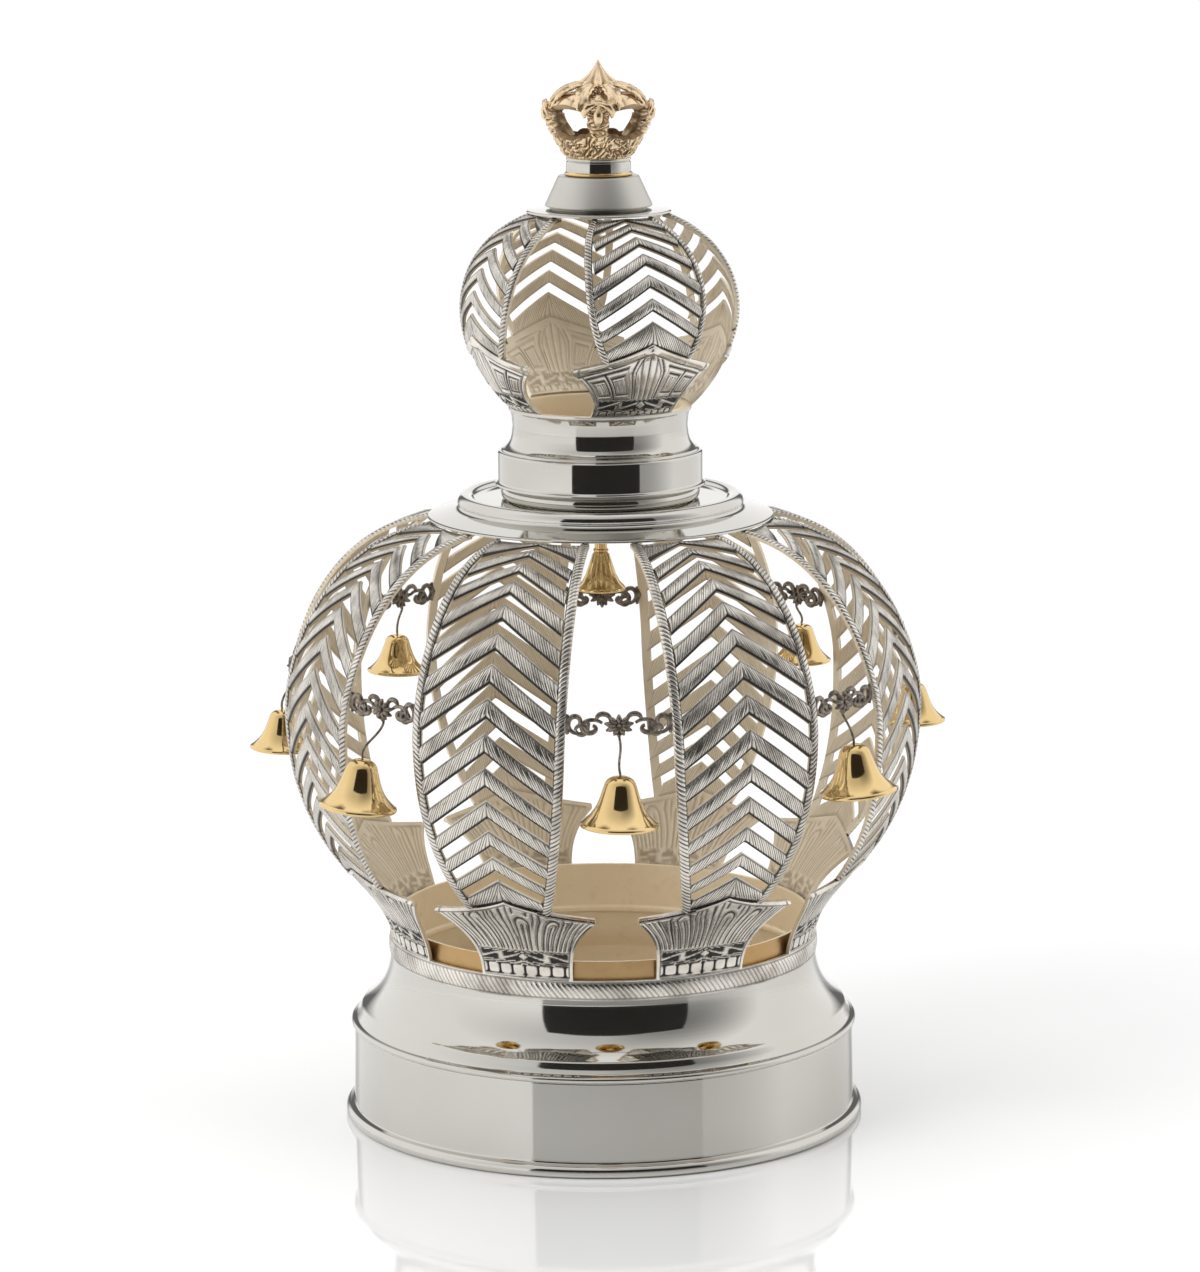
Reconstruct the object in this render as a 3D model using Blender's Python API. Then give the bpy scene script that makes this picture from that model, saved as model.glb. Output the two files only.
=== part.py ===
import math

import bmesh
import bpy
import numpy as np

mm = 0.001
gap = 0.3 * mm  # clear space between pieces that are soldered or rest on each other

# Base: a hollow turned foot, open below
foot_radius = 91.0 * mm
base_height = 57.5 * mm
band_radius = 88.0 * mm
band_top = 32.3 * mm
shoulder_radius = 85.0 * mm
shoulder_height = 39.0 * mm
throat_radius = 74.7 * mm
base_wall = 1.6 * mm

# Rope ring and the gilt sleeve inside it
rope_ring_height = 6.7 * mm
rope_ring_bulge = 0.7 * mm
sleeve_wall = 1.2 * mm
sleeve_drop = 4.5 * mm  # how far the sleeve reaches down into the base
sleeve_rise = 6.5 * mm  # how far it stands above the rope ring

# Large bulb
bulb_radius = 110.7 * mm
bulb_widest_height = 149.0 * mm
bulb_top_radius = 58.0 * mm
bulb_top_height = 211.2 * mm
leaf_count = 8
leaf_bars = 13
front_gap_angle = math.radians(47.0)  # between the two front leaves, a little over one eighth
front_gap_azimuth = math.radians(3.0)
leaf_shifts = {  # leaves fixed a little off their even places, counted from the first leaf
    3: math.radians(-2.4),
    4: math.radians(-4.0),
    5: math.radians(-3.6),
}
leaf_thickness = 1.6 * mm
leaf_foot_half = 16.5 * mm
leaf_tip_half = 27.5 * mm
leaf_cornice_half = 17.2 * mm
leaf_cornice_edge = 1.6 * mm
leaf_widest_half = 27.2 * mm
leaf_top_half = 17.0 * mm
leaf_rope = 3.4 * mm
leaf_end_band = 1.6 * mm

# Shoulder disc, collar and the centre bell under it
disc_radius = 59.9 * mm
disc_ring_radius = 49.5 * mm
disc_rise = 7.0 * mm  # from the top of the bulb to the plate
disc_plate = 1.4 * mm
disc_plate_height = bulb_top_height + disc_rise
collar_height = 31.8 * mm
collar_band_radius = 35.4 * mm
neck_radius = 31.5 * mm
collar_wall = 1.4 * mm
centre_bell_radius = 8.6 * mm
centre_bell_length = 31.0 * mm

# Small bulb
small_bulb_radius = 47.6 * mm
small_bulb_belly = 34.0 * mm  # from the neck up to the widest place
small_bulb_height = 66.8 * mm
small_bulb_top_radius = 22.0 * mm
neck_top = disc_plate_height + collar_height
small_bulb_widest_height = neck_top + small_bulb_belly
small_bulb_top_height = neck_top + small_bulb_height
small_leaf_count = 4
small_leaf_bars = 6
small_leaf_azimuth = math.radians(22.5)
small_leaf_thickness = 1.4 * mm
small_leaf_foot_half = 15.5 * mm
small_leaf_tip_half = 26.0 * mm
small_leaf_cornice_half = 19.6 * mm
small_leaf_cornice_edge = 1.4 * mm
small_leaf_widest_half = 22.6 * mm
small_leaf_top_half = 11.0 * mm
small_leaf_rope = 2.6 * mm
small_leaf_end_band = 1.2 * mm

# Cap and finial
cap_flange_radius = 24.9 * mm
cap_cone_radius = 18.4 * mm
cap_top_radius = 13.9 * mm
cap_height = 12.4 * mm
finial_ring_radius = 11.4 * mm
finial_ring_height = 6.2 * mm
finial_radius = 18.5 * mm
finial_height = 33.0 * mm
finial_wall = 3.6 * mm

# Scroll bars, wires and bells
bar_inset = 2.0 * mm  # from the bulb's outline in to the front of each scroll bar
bar_height = 159.5 * mm
high_bar_height = 169.5 * mm
high_bar_gaps = (2, 3, 5)
back_bar_height = 164.0 * mm
bar_thickness = 1.6 * mm
rosette_size = 7.6 * mm
wire_radius = 0.45 * mm
bell_radius = 13.1 * mm
bell_height = 17.0 * mm
bell_wall = 0.8 * mm
# How far a gap's wire is bent outward, how long it is, and the share of the full bell it carries
bell_hangs = {
    0: (8.0 * mm, 10.6 * mm, 1.0),
    1: (5.0 * mm, 9.0 * mm, 1.0),
    2: (5.5 * mm, 14.2 * mm, 0.82),
    3: (3.0 * mm, 6.2 * mm, 0.82),
    5: (3.0 * mm, 9.0 * mm, 0.82),
    6: (4.6 * mm, 10.9 * mm, 0.82),
    7: (10.0 * mm, 10.6 * mm, 1.0),
}

# The origin lies under the middle of the outline, which the front bells carry forward
axis_set_back = 9.0 * mm

large_segments = 28
small_segments = 22
bell_segments = 9


class Meridian:
    """The outline of a bulb, followed by the distance along it from its foot."""

    def __init__(self, curves):
        steps = np.linspace(0.0, 1.0, 60)[:, None]
        parts = []
        for a, b, c, d in curves:
            a, b, c, d = (np.array(point) for point in (a, b, c, d))
            parts.append(
                (1 - steps) ** 3 * a
                + 3 * (1 - steps) ** 2 * steps * b
                + 3 * (1 - steps) * steps**2 * c
                + steps**3 * d
            )
        points = np.concatenate(parts)
        lengths = np.hypot(*np.diff(points, axis=0).T)
        self.radii, self.heights = points.T
        self.along = np.concatenate([[0.0], np.cumsum(lengths)])
        self.length = float(self.along[-1])

    def radius(self, along):
        return float(np.interp(along, self.along, self.radii))

    def height(self, along):
        return float(np.interp(along, self.along, self.heights))

    def along_at(self, height):
        return float(np.interp(height, self.heights, self.along))


class LeafPlan:
    """The openwork leaf laid flat: across its middle line, and along the bulb's outline."""

    def __init__(self, meridian, **sizes):
        self.meridian = meridian
        self.__dict__.update(sizes)

    def capital_half(self, along):
        rise = (along - self.foot) / (self.tip - self.foot)
        return self.foot_half + (self.tip_half - self.foot_half) * max(rise, 0.0) ** 1.7

    def half(self, along):
        """Half the width over the rope edges: an arch that is widest partway up."""
        if along < self.widest:
            span, end_half = self.widest - self.cornice, self.cornice_half
        else:
            span, end_half = self.meridian.length - self.widest, self.top_half
        share = (along - self.widest) / span
        return self.widest_half - (self.widest_half - end_half) * share**2

    def slot_half(self, along):
        return self.half(along) - self.rope

    def bar_top(self, number):
        """Where the peak of a bar is: bars lie closer together at the foot and the top."""
        share = number / self.bars
        wave = self.spacing_wave * math.sin(2 * math.pi * share) / (2 * math.pi)
        return self.cornice + (self.last_bar - self.cornice) * (share - wave)

    def bar_bottom(self, number):
        below = self.bar_top(number - 1)
        pitch = self.bar_top(number) - below
        return below + pitch * (1 - self.bar_share)

    def chevron(self, peak, half_at):
        """The point where an arm that falls from the peak meets the line half_at gives."""
        along = peak
        for _ in range(6):
            along = peak - self.fall * half_at(along)
        return half_at(along), along


def material(name, colour, roughness, metallic=1.0):
    made = bpy.data.materials.new(name)
    made.use_nodes = True
    shader = made.node_tree.nodes["Principled BSDF"]
    shader.inputs["Base Color"].default_value = (*colour, 1.0)
    shader.inputs["Roughness"].default_value = roughness
    shader.inputs["Metallic"].default_value = metallic
    made.diffuse_color = (*colour, 1.0)
    return made


def place(name, mesh, made_of, azimuth=0.0):
    if not mesh.materials:
        mesh.materials.append(made_of)
    obj = bpy.data.objects.new(name, mesh)
    obj.rotation_euler.z = azimuth
    obj.parent = crown
    bpy.context.scene.collection.objects.link(obj)
    return obj


def smooth(mesh, angle=40):
    mesh.shade_smooth()
    mesh.set_sharp_from_angle(angle=math.radians(angle))


def turned(name, profile, segments):
    """A closed outline of (radius, height) points spun about the vertical axis."""
    bm = bmesh.new()
    verts = [bm.verts.new((radius, 0.0, height)) for radius, height in profile]
    closes = profile[0][0] > 0 or profile[-1][0] > 0
    pairs = list(zip(verts, verts[1:])) + ([(verts[-1], verts[0])] if closes else [])
    edges = [bm.edges.new(pair) for pair in pairs]
    bmesh.ops.spin(
        bm,
        geom=verts + edges,
        cent=(0, 0, 0),
        axis=(0, 0, 1),
        angle=2 * math.pi,
        steps=segments,
        use_merge=True,
    )
    bmesh.ops.remove_doubles(bm, verts=bm.verts, dist=1e-6)
    bmesh.ops.recalc_face_normals(bm, faces=bm.faces)
    mesh = bpy.data.meshes.new(name)
    bm.to_mesh(mesh)
    bm.free()
    smooth(mesh)
    return mesh


def thicken(obj, thickness):
    modifier = obj.modifiers.new("Thickness", "SOLIDIFY")
    modifier.thickness = thickness
    modifier.offset = -1.0


def arc_between(start, control, end, count):
    """Points of a quadratic curve, without its two ends."""
    found = []
    for step in range(1, count + 1):
        t = step / (count + 1)
        found.append(
            tuple(
                (1 - t) ** 2 * a + 2 * (1 - t) * t * b + t**2 * c
                for a, b, c in zip(start, control, end)
            )
        )
    return found


def base_mesh():
    bead = foot_radius - band_radius
    shoulder = (shoulder_radius, shoulder_height)
    throat = (throat_radius, base_height)
    turn = (throat_radius + 0.8 * mm, shoulder_height + 0.32 * (base_height - shoulder_height))
    flare = arc_between(shoulder, turn, throat, 4)
    throat_inner = throat_radius - base_wall
    outer = [
        (foot_radius - 0.5 * bead, 0.0),
        (foot_radius, 2.2 * mm),
        (band_radius + 0.2 * mm, 4.6 * mm),
        (band_radius - 0.4 * mm, band_top),
        (band_radius + 0.8 * mm, band_top + 1.3 * mm),
        (band_radius - 0.6 * mm, band_top + 2.8 * mm),
        (shoulder_radius + 0.6 * mm, band_top + 0.6 * (shoulder_height - band_top)),
        shoulder,
        *flare,
        throat,
    ]
    inner = [
        (throat_inner, base_height),
        (throat_inner, base_height - sleeve_drop - 1.0 * mm),
        *[(radius - base_wall, height - 1.0 * mm) for radius, height in flare[2::-2]],
        (shoulder_radius - base_wall, shoulder_height - 2.0 * mm),
        (band_radius - 1.3 * base_wall, band_top - 1.0 * mm),
        (band_radius - 1.3 * base_wall, 0.0),
    ]
    return turned("base", outer + inner, large_segments)


def rope_ring_mesh():
    inner = throat_radius - base_wall
    bottom = base_height + gap
    top = bottom + rope_ring_height
    profile = [
        (inner, bottom),
        (throat_radius - 0.3 * mm, bottom),
        (throat_radius + rope_ring_bulge, bottom + 0.5 * rope_ring_height),
        (throat_radius - 0.3 * mm, top),
        (inner, top),
    ]
    return turned("rope_ring", profile, large_segments)


def sleeve_mesh():
    outer = throat_radius - base_wall - gap
    bottom = base_height - sleeve_drop
    top = base_height + gap + rope_ring_height + sleeve_rise
    profile = [
        (outer, bottom),
        (outer, top),
        (outer - sleeve_wall, top),
        (outer - sleeve_wall, bottom),
    ]
    return turned("inner_sleeve", profile, large_segments)


def disc_mesh():
    edge = bulb_top_height + 0.4 * mm
    plate = disc_plate_height
    profile = [
        (0.0, plate - disc_plate),
        (disc_ring_radius - 6.0 * mm, plate - disc_plate),
        (disc_ring_radius, edge + 2.4 * mm),
        (disc_radius - 0.6 * mm, edge),
        (disc_radius, edge + 0.3 * mm),
        (disc_radius - 0.6 * mm, edge + 1.0 * mm),
        (disc_ring_radius, edge + 3.8 * mm),
        (disc_ring_radius, plate),
        (disc_ring_radius - 3.0 * mm, plate + 1.9 * mm),
        (disc_ring_radius - 6.0 * mm, plate),
        (0.0, plate),
    ]
    return turned("shoulder_disc", profile, large_segments)


def collar_mesh():
    bottom = disc_plate_height + gap
    top = bottom + collar_height - gap
    band = collar_band_radius
    inner = neck_radius - 2.0 * mm
    outer = [
        (band - 2.2 * mm, bottom),
        (band - 1.0 * mm, bottom + 2.2 * mm),
        (band - 1.8 * mm, bottom + 4.2 * mm),
        (band + 1.1 * mm, bottom + 5.0 * mm),
        (band, bottom + 6.0 * mm),
        (band, bottom + 17.6 * mm),
        (neck_radius, bottom + 19.7 * mm),
        (neck_radius - 1.2 * mm, bottom + 25.5 * mm),
        (neck_radius, top),
    ]
    hollow = [
        (inner - collar_wall, top),
        (inner - collar_wall, bottom + 19.0 * mm),
        (inner + 0.6 * mm, bottom),
    ]
    return turned("collar", outer + hollow, small_segments)


def cap_mesh():
    flange = small_bulb_top_height + gap
    skirt = flange + 2.3 * mm
    top = flange + cap_height
    profile = [
        (0.0, top - 1.2 * mm),
        (cap_top_radius - 1.6 * mm, top - 1.2 * mm),
        (cap_cone_radius - 4.5 * mm, flange),
        (cap_flange_radius, flange),
        (cap_flange_radius, flange + 1.0 * mm),
        (cap_cone_radius - 2.0 * mm, flange + 1.3 * mm),
        (cap_cone_radius, skirt),
        (cap_top_radius, top),
        (0.0, top),
    ]
    return turned("cap", profile, small_segments)


def finial_ring_mesh():
    bottom = small_bulb_top_height + cap_height + 2 * gap
    profile = [
        (0.0, bottom),
        (finial_ring_radius - 0.7 * mm, bottom),
        (finial_ring_radius, bottom + 0.2 * finial_ring_height),
        (finial_ring_radius - 0.6 * mm, bottom + 0.45 * finial_ring_height),
        (finial_ring_radius - 0.3 * mm, bottom + 0.85 * finial_ring_height),
        (finial_ring_radius - 0.9 * mm, bottom + finial_ring_height),
        (0.0, bottom + finial_ring_height),
    ]
    return turned("finial_ring", profile, 18)


def finial_crown_mesh():
    """Four leafy straps that rise from a band, curve in and meet under a pointed top."""
    foot = small_bulb_top_height + cap_height + finial_ring_height + 3 * gap
    wide, tall = finial_radius, finial_height
    strap = math.radians(15)
    rows = [
        (0.59 * wide, 0.0),
        (0.72 * wide, 0.13 * tall),
        (0.87 * wide, 0.28 * tall),
        (1.00 * wide, 0.45 * tall),
        (0.93 * wide, 0.59 * tall),
        (0.68 * wide, 0.70 * tall),
        (0.45 * wide, 0.74 * tall),
        (0.22 * wide, 0.86 * tall),
    ]
    window_rows = (2, 5)
    bm = bmesh.new()
    quarters = [index * math.pi / 2 for index in range(4)]
    grid = []
    for row, (radius, rise) in enumerate(rows):
        ring = []
        for quarter in quarters:
            for column, turn in enumerate((-strap, strap, math.pi / 4)):
                lift = 0.0
                if row == window_rows[0] and column == 2:
                    lift = 0.05 * tall  # the pointed leaf between two straps
                azimuth = quarter + turn
                across, out = radius * math.sin(azimuth), -radius * math.cos(azimuth)
                ring.append(bm.verts.new((across, out, foot + rise + lift)))
        grid.append(ring)
    count = len(grid[0])
    for row in range(len(rows) - 1):
        for column in range(count):
            after = (column + 1) % count
            between_straps = column % 3 != 0
            if between_straps and window_rows[0] <= row < window_rows[1]:
                continue
            lower, upper = grid[row], grid[row + 1]
            bm.faces.new((lower[column], lower[after], upper[after], upper[column]))
    tip = bm.verts.new((0.0, 0.0, foot + tall))
    for column in range(count):
        bm.faces.new((grid[-1][column], grid[-1][(column + 1) % count], tip))
    mesh = bpy.data.meshes.new("finial_crown")
    bm.to_mesh(mesh)
    bm.free()
    smooth(mesh, 50)
    return mesh


def leaf_mesh(name, plan):
    """One leaf facing -Y: its capital, its rope edges and the chevron bars between them."""
    bm = bmesh.new()

    def vert(across, along):
        radius = plan.meridian.radius(along)
        azimuth = across / radius
        height = plan.meridian.height(along)
        return bm.verts.new((radius * math.sin(azimuth), -radius * math.cos(azimuth), height))

    def row(halves, along_of):
        return [vert(side, along_of(side)) for side in halves]

    lower = None
    for share in (0.0, 0.6, 1.0):
        along = plan.foot + share * (plan.tip - plan.foot)
        half = plan.capital_half(along)
        upper = row([-half, 0.0, half], lambda side: along)
        if lower:
            for a in range(2):
                bm.faces.new((lower[a], lower[a + 1], upper[a + 1], upper[a]))
        lower = upper

    rise = plan.cornice - plan.tip - plan.cornice_edge
    edge, slot = plan.half(plan.cornice), plan.slot_half(plan.cornice)
    line = row(
        [-plan.tip_half, -edge, -slot, 0.0, slot, edge, plan.tip_half],
        lambda side: plan.cornice - rise * abs(side) / plan.tip_half,
    )
    bm.faces.new((lower[0], lower[1], line[3], line[2], line[1], line[0]))
    bm.faces.new((lower[1], lower[2], line[6], line[5], line[4], line[3]))

    edges = {-1: line[1], 1: line[5]}
    inner_left, inner_right = [line[2]], [line[4]]
    end = plan.meridian.length - plan.end_margin
    for number in range(1, plan.bars + 2):
        last = number == plan.bars + 1
        if number == 1:
            # The lowest bar rests on the cornice
            bottom = {-1: line[2], 1: line[4]}
            bottom_middle = line[3]
        else:
            bottom_peak = end - plan.end_band if last else plan.bar_bottom(number)
            half, along = plan.chevron(bottom_peak, plan.slot_half)
            bottom = {side: vert(side * half, along) for side in (-1, 1)}
            bottom_middle = vert(0.0, bottom_peak)
            inner_left.append(bottom[-1])
            inner_right.append(bottom[1])
        if last:
            top = {side: vert(side * plan.slot_half(end), end) for side in (-1, 1)}
            outer = {side: vert(side * plan.half(end), end) for side in (-1, 1)}
            top_peak = end
        else:
            top_peak = plan.bar_top(number)
            half, along = plan.chevron(top_peak, plan.slot_half)
            top = {side: vert(side * half, along) for side in (-1, 1)}
            half, along = plan.chevron(top_peak, plan.half)
            turning = number % 2 == 1
            outer = {side: vert(side * half, along) for side in (-1, 1)} if turning else None
        top_middle = vert(0.0, top_peak)
        inner_left.append(top[-1])
        inner_right.append(top[1])
        if outer:
            bm.faces.new((edges[-1], *inner_left, outer[-1]))
            bm.faces.new((edges[1], outer[1], *reversed(inner_right)))
            edges = outer
            inner_left, inner_right = [top[-1]], [top[1]]
        bm.faces.new((bottom[-1], bottom_middle, top_middle, top[-1]))
        bm.faces.new((bottom_middle, bottom[1], top[1], top_middle))
    mesh = bpy.data.meshes.new(name)
    bm.to_mesh(mesh)
    bm.free()
    smooth(mesh, 30)
    return mesh


def scroll_bar_mesh(name, half_length, distance, height):
    """A waved strip with a rosette in its middle, standing across one gap, facing -Y."""
    bm = bmesh.new()
    steps = 8
    pairs = []
    for step in range(steps + 1):
        share = 2 * step / steps - 1
        middle = max(0.0, 1 - abs(share) * 4.5)
        width = 2.4 * mm + (rosette_size - 2.4 * mm) * middle
        wave = 2.4 * mm * math.sin(3 * math.pi * abs(share)) * (1 - middle)
        for side in (-1, 1):
            place_z = height + wave + side * width / 2
            pairs.append(bm.verts.new((share * half_length, -distance, place_z)))
    for step in range(steps):
        a = 2 * step
        bm.faces.new((pairs[a], pairs[a + 2], pairs[a + 3], pairs[a + 1]))
    mesh = bpy.data.meshes.new(name)
    bm.to_mesh(mesh)
    bm.free()
    return mesh


def wire_curve(name, top, bottom):
    """A thin wire with a slight S-bend from the rosette to the bell, in one vertical plane."""
    curve = bpy.data.curves.new(name, "CURVE")
    curve.dimensions = "3D"
    curve.bevel_depth = wire_radius
    curve.bevel_resolution = 0
    curve.use_fill_caps = True
    spline = curve.splines.new("POLY")
    count = 4
    spline.points.add(count - 1)
    for index, point in enumerate(spline.points):
        share = index / (count - 1)
        ease = share * share * (3 - 2 * share)
        out = top[0] + (bottom[0] - top[0]) * ease
        sway = 0.7 * mm * math.sin(2 * math.pi * share)
        point.co = (sway, -out, top[1] + (bottom[1] - top[1]) * share, 1.0)
    return curve


def bell_mesh(name, size, distance, lip_height):
    """A domed, flared and hollow bell, turned about its own axis at the given distance."""
    radius, tall, wall = size * bell_radius, size * bell_height, bell_wall
    profile = [
        (0.0, tall),
        (0.40 * radius, 0.91 * tall),
        (0.53 * radius, 0.58 * tall),
        (0.68 * radius, 0.27 * tall),
        (1.00 * radius, 0.06 * tall),
        (0.97 * radius, 0.0),
        (0.58 * radius - wall, 0.40 * tall),
        (0.0, tall - 2 * wall),
    ]
    mesh = turned(name, profile, bell_segments)
    for vertex in mesh.vertices:
        vertex.co.y -= distance
        vertex.co.z += lip_height
    return mesh


def centre_bell_mesh():
    """A slim bell on a stem, hung on the crown's axis under the disc."""
    radius = centre_bell_radius
    top = disc_plate_height - disc_plate - gap
    lip = top - centre_bell_length
    profile = [
        (0.0, top),
        (0.25 * radius, top),
        (0.25 * radius, lip + 14.2 * mm),
        (0.44 * radius, lip + 12.6 * mm),
        (0.56 * radius, lip + 6.5 * mm),
        (1.00 * radius, lip + 0.9 * mm),
        (0.96 * radius, lip),
        (0.46 * radius, lip + 5.5 * mm),
        (0.34 * radius, lip + 11.0 * mm),
        (0.0, lip + 11.8 * mm),
    ]
    return turned("centre_bell", profile, bell_segments)


for old in list(bpy.data.objects):
    bpy.data.objects.remove(old)

crown = bpy.data.objects.new("crown", None)
crown.location.y = axis_set_back
bpy.context.scene.collection.objects.link(crown)

polished_silver = material("polished_silver", (0.86, 0.86, 0.84), 0.10)
oxidised_silver = material("oxidised_silver", (0.52, 0.51, 0.49), 0.38)
gilt = material("gilt", (0.80, 0.66, 0.44), 0.32)
bell_brass = material("bell_brass", (0.82, 0.60, 0.27), 0.16)
antique_gold = material("antique_gold", (0.62, 0.45, 0.22), 0.36)

bulb_foot_height = base_height + gap
bulb_start = (throat_radius, bulb_foot_height)
bulb_bend = (throat_radius, bulb_foot_height + 4.2 * mm)
bulb_waist = (bulb_radius, bulb_widest_height)
large_meridian = Meridian(
    [
        (bulb_start, bulb_start, bulb_bend, bulb_bend),
        (
            bulb_bend,
            (throat_radius, bulb_bend[1] + 0.285 * (bulb_widest_height - bulb_bend[1])),
            (bulb_radius, bulb_widest_height - 0.66 * (bulb_widest_height - bulb_bend[1])),
            bulb_waist,
        ),
        (
            bulb_waist,
            (bulb_radius, bulb_widest_height + 0.252 * (bulb_top_height - bulb_widest_height)),
            (bulb_top_radius + 0.755 * (bulb_radius - bulb_top_radius), bulb_top_height - 4.5 * mm),
            (bulb_top_radius, bulb_top_height),
        ),
    ]
)
large_length = large_meridian.length
large_plan = LeafPlan(
    large_meridian,
    foot=rope_ring_height + gap,
    foot_half=leaf_foot_half,
    tip=0.180 * large_length,
    tip_half=leaf_tip_half,
    cornice=0.235 * large_length,
    cornice_edge=leaf_cornice_edge,
    cornice_half=leaf_cornice_half,
    widest=0.565 * large_length,
    widest_half=leaf_widest_half,
    top_half=leaf_top_half,
    rope=leaf_rope,
    bars=leaf_bars,
    last_bar=0.968 * large_length,
    bar_share=0.58,
    spacing_wave=0.10,
    fall=0.74,
    end_margin=gap,
    end_band=leaf_end_band,
)

small_start = (neck_radius, neck_top + gap)
small_waist = (small_bulb_radius, small_bulb_widest_height)
small_rise = small_bulb_widest_height - neck_top
small_fall = small_bulb_top_height - small_bulb_widest_height
small_meridian = Meridian(
    [
        (
            small_start,
            (neck_radius + 0.42 * (small_bulb_radius - neck_radius), neck_top + 0.17 * small_rise),
            (small_bulb_radius, small_bulb_widest_height - 0.40 * small_rise),
            small_waist,
        ),
        (
            small_waist,
            (small_bulb_radius, small_bulb_widest_height + 0.27 * small_fall),
            (
                small_bulb_top_radius + 0.85 * (small_bulb_radius - small_bulb_top_radius),
                small_bulb_top_height - 0.24 * small_fall,
            ),
            (small_bulb_top_radius, small_bulb_top_height),
        ),
    ]
)
small_length = small_meridian.length
small_plan = LeafPlan(
    small_meridian,
    foot=0.0,
    foot_half=small_leaf_foot_half,
    tip=0.245 * small_length,
    tip_half=small_leaf_tip_half,
    cornice=0.375 * small_length,
    cornice_edge=small_leaf_cornice_edge,
    cornice_half=small_leaf_cornice_half,
    widest=0.56 * small_length,
    widest_half=small_leaf_widest_half,
    top_half=small_leaf_top_half,
    rope=small_leaf_rope,
    bars=small_leaf_bars,
    last_bar=0.955 * small_length,
    bar_share=0.56,
    spacing_wave=0.05,
    fall=0.62,
    end_margin=gap,
    end_band=small_leaf_end_band,
)

place("base", base_mesh(), polished_silver)
place("rope_ring", rope_ring_mesh(), oxidised_silver)
place("inner_sleeve", sleeve_mesh(), gilt)
place("shoulder_disc", disc_mesh(), polished_silver)
place("collar", collar_mesh(), polished_silver)
place("cap", cap_mesh(), polished_silver)
place("finial_ring", finial_ring_mesh(), bell_brass)
place("centre_bell", centre_bell_mesh(), bell_brass)
finial_crown = place("finial_crown", finial_crown_mesh(), antique_gold)
thicken(finial_crown, finial_wall)

other_gap_angle = (2 * math.pi - front_gap_angle) / (leaf_count - 1)
first_leaf = front_gap_azimuth + front_gap_angle / 2
leaf_azimuths = [
    first_leaf + index * other_gap_angle + leaf_shifts.get(index, 0.0)
    for index in range(leaf_count)
]
large_leaf = leaf_mesh("leaf", large_plan)
for index, azimuth in enumerate(leaf_azimuths):
    thicken(place(f"leaf_{index + 1}", large_leaf, oxidised_silver, azimuth), leaf_thickness)

small_leaf = leaf_mesh("small_leaf", small_plan)
for index in range(small_leaf_count):
    azimuth = small_leaf_azimuth + index * 2 * math.pi / small_leaf_count
    piece = place(f"small_leaf_{index + 1}", small_leaf, oxidised_silver, azimuth)
    thicken(piece, small_leaf_thickness)

# Gap 1 is the one in front, between the last leaf and the first, and the numbers go round
back_gap = leaf_count // 2
for index in range(leaf_count):
    before = leaf_azimuths[index - 1] - (2 * math.pi if index == 0 else 0.0)
    azimuth = (before + leaf_azimuths[index]) / 2
    gap_angle = leaf_azimuths[index] - before
    height = high_bar_height if index in high_bar_gaps else bar_height
    if index == back_gap:
        height = back_bar_height
    along = large_meridian.along_at(height)
    front = large_meridian.radius(along) - bar_inset
    leaf_angle = large_plan.half(along) / large_meridian.radius(along)
    opening_half = (front - bar_thickness) * math.tan(gap_angle / 2 - leaf_angle)
    half_length = opening_half - 2 * gap
    number = index + 1
    bar_mesh = scroll_bar_mesh(f"scroll_bar_{number}", half_length, front, height)
    bar = place(f"scroll_bar_{number}", bar_mesh, oxidised_silver, azimuth)
    thicken(bar, bar_thickness)
    if index not in bell_hangs:
        continue
    lean, wire_length, size = bell_hangs[index]
    wire_out = front - bar_thickness / 2
    wire_top = height - rosette_size / 2 - gap - wire_radius
    wire_end = wire_top - wire_length
    wire = wire_curve(f"wire_{number}", (wire_out, wire_top), (wire_out + lean, wire_end))
    place(f"bell_wire_{number}", wire, oxidised_silver, azimuth)
    lip_height = wire_end - gap - size * bell_height
    bell = bell_mesh(f"bell_{number}", size, wire_out + lean, lip_height)
    place(f"bell_{number}", bell, bell_brass, azimuth)
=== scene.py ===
import math

import bpy
import numpy as np
from mathutils import Matrix, Vector


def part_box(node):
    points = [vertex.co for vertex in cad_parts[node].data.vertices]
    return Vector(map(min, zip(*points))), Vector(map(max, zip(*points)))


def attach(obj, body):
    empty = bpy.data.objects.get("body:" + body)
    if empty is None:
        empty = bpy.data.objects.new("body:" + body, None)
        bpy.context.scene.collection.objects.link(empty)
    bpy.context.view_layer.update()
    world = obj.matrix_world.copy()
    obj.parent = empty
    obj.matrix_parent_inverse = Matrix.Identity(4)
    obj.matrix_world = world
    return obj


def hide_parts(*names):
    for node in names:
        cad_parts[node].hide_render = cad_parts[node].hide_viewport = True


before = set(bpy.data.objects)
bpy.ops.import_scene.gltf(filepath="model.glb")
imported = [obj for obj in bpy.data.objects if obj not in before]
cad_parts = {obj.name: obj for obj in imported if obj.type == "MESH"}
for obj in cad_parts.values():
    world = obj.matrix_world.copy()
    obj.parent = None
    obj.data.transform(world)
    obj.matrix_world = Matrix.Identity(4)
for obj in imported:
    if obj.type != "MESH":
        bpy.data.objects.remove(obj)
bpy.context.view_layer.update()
mm = 0.001

# The crown's axis stands a little behind the frame's origin, as its foot does
footLow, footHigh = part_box("base")
crownAxis = (footLow + footHigh) / 2
crownAxis.z = 0.0
print("frame loaded,", len(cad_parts), "nodes, axis at", round(crownAxis.y / mm, 1), "mm")


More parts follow.
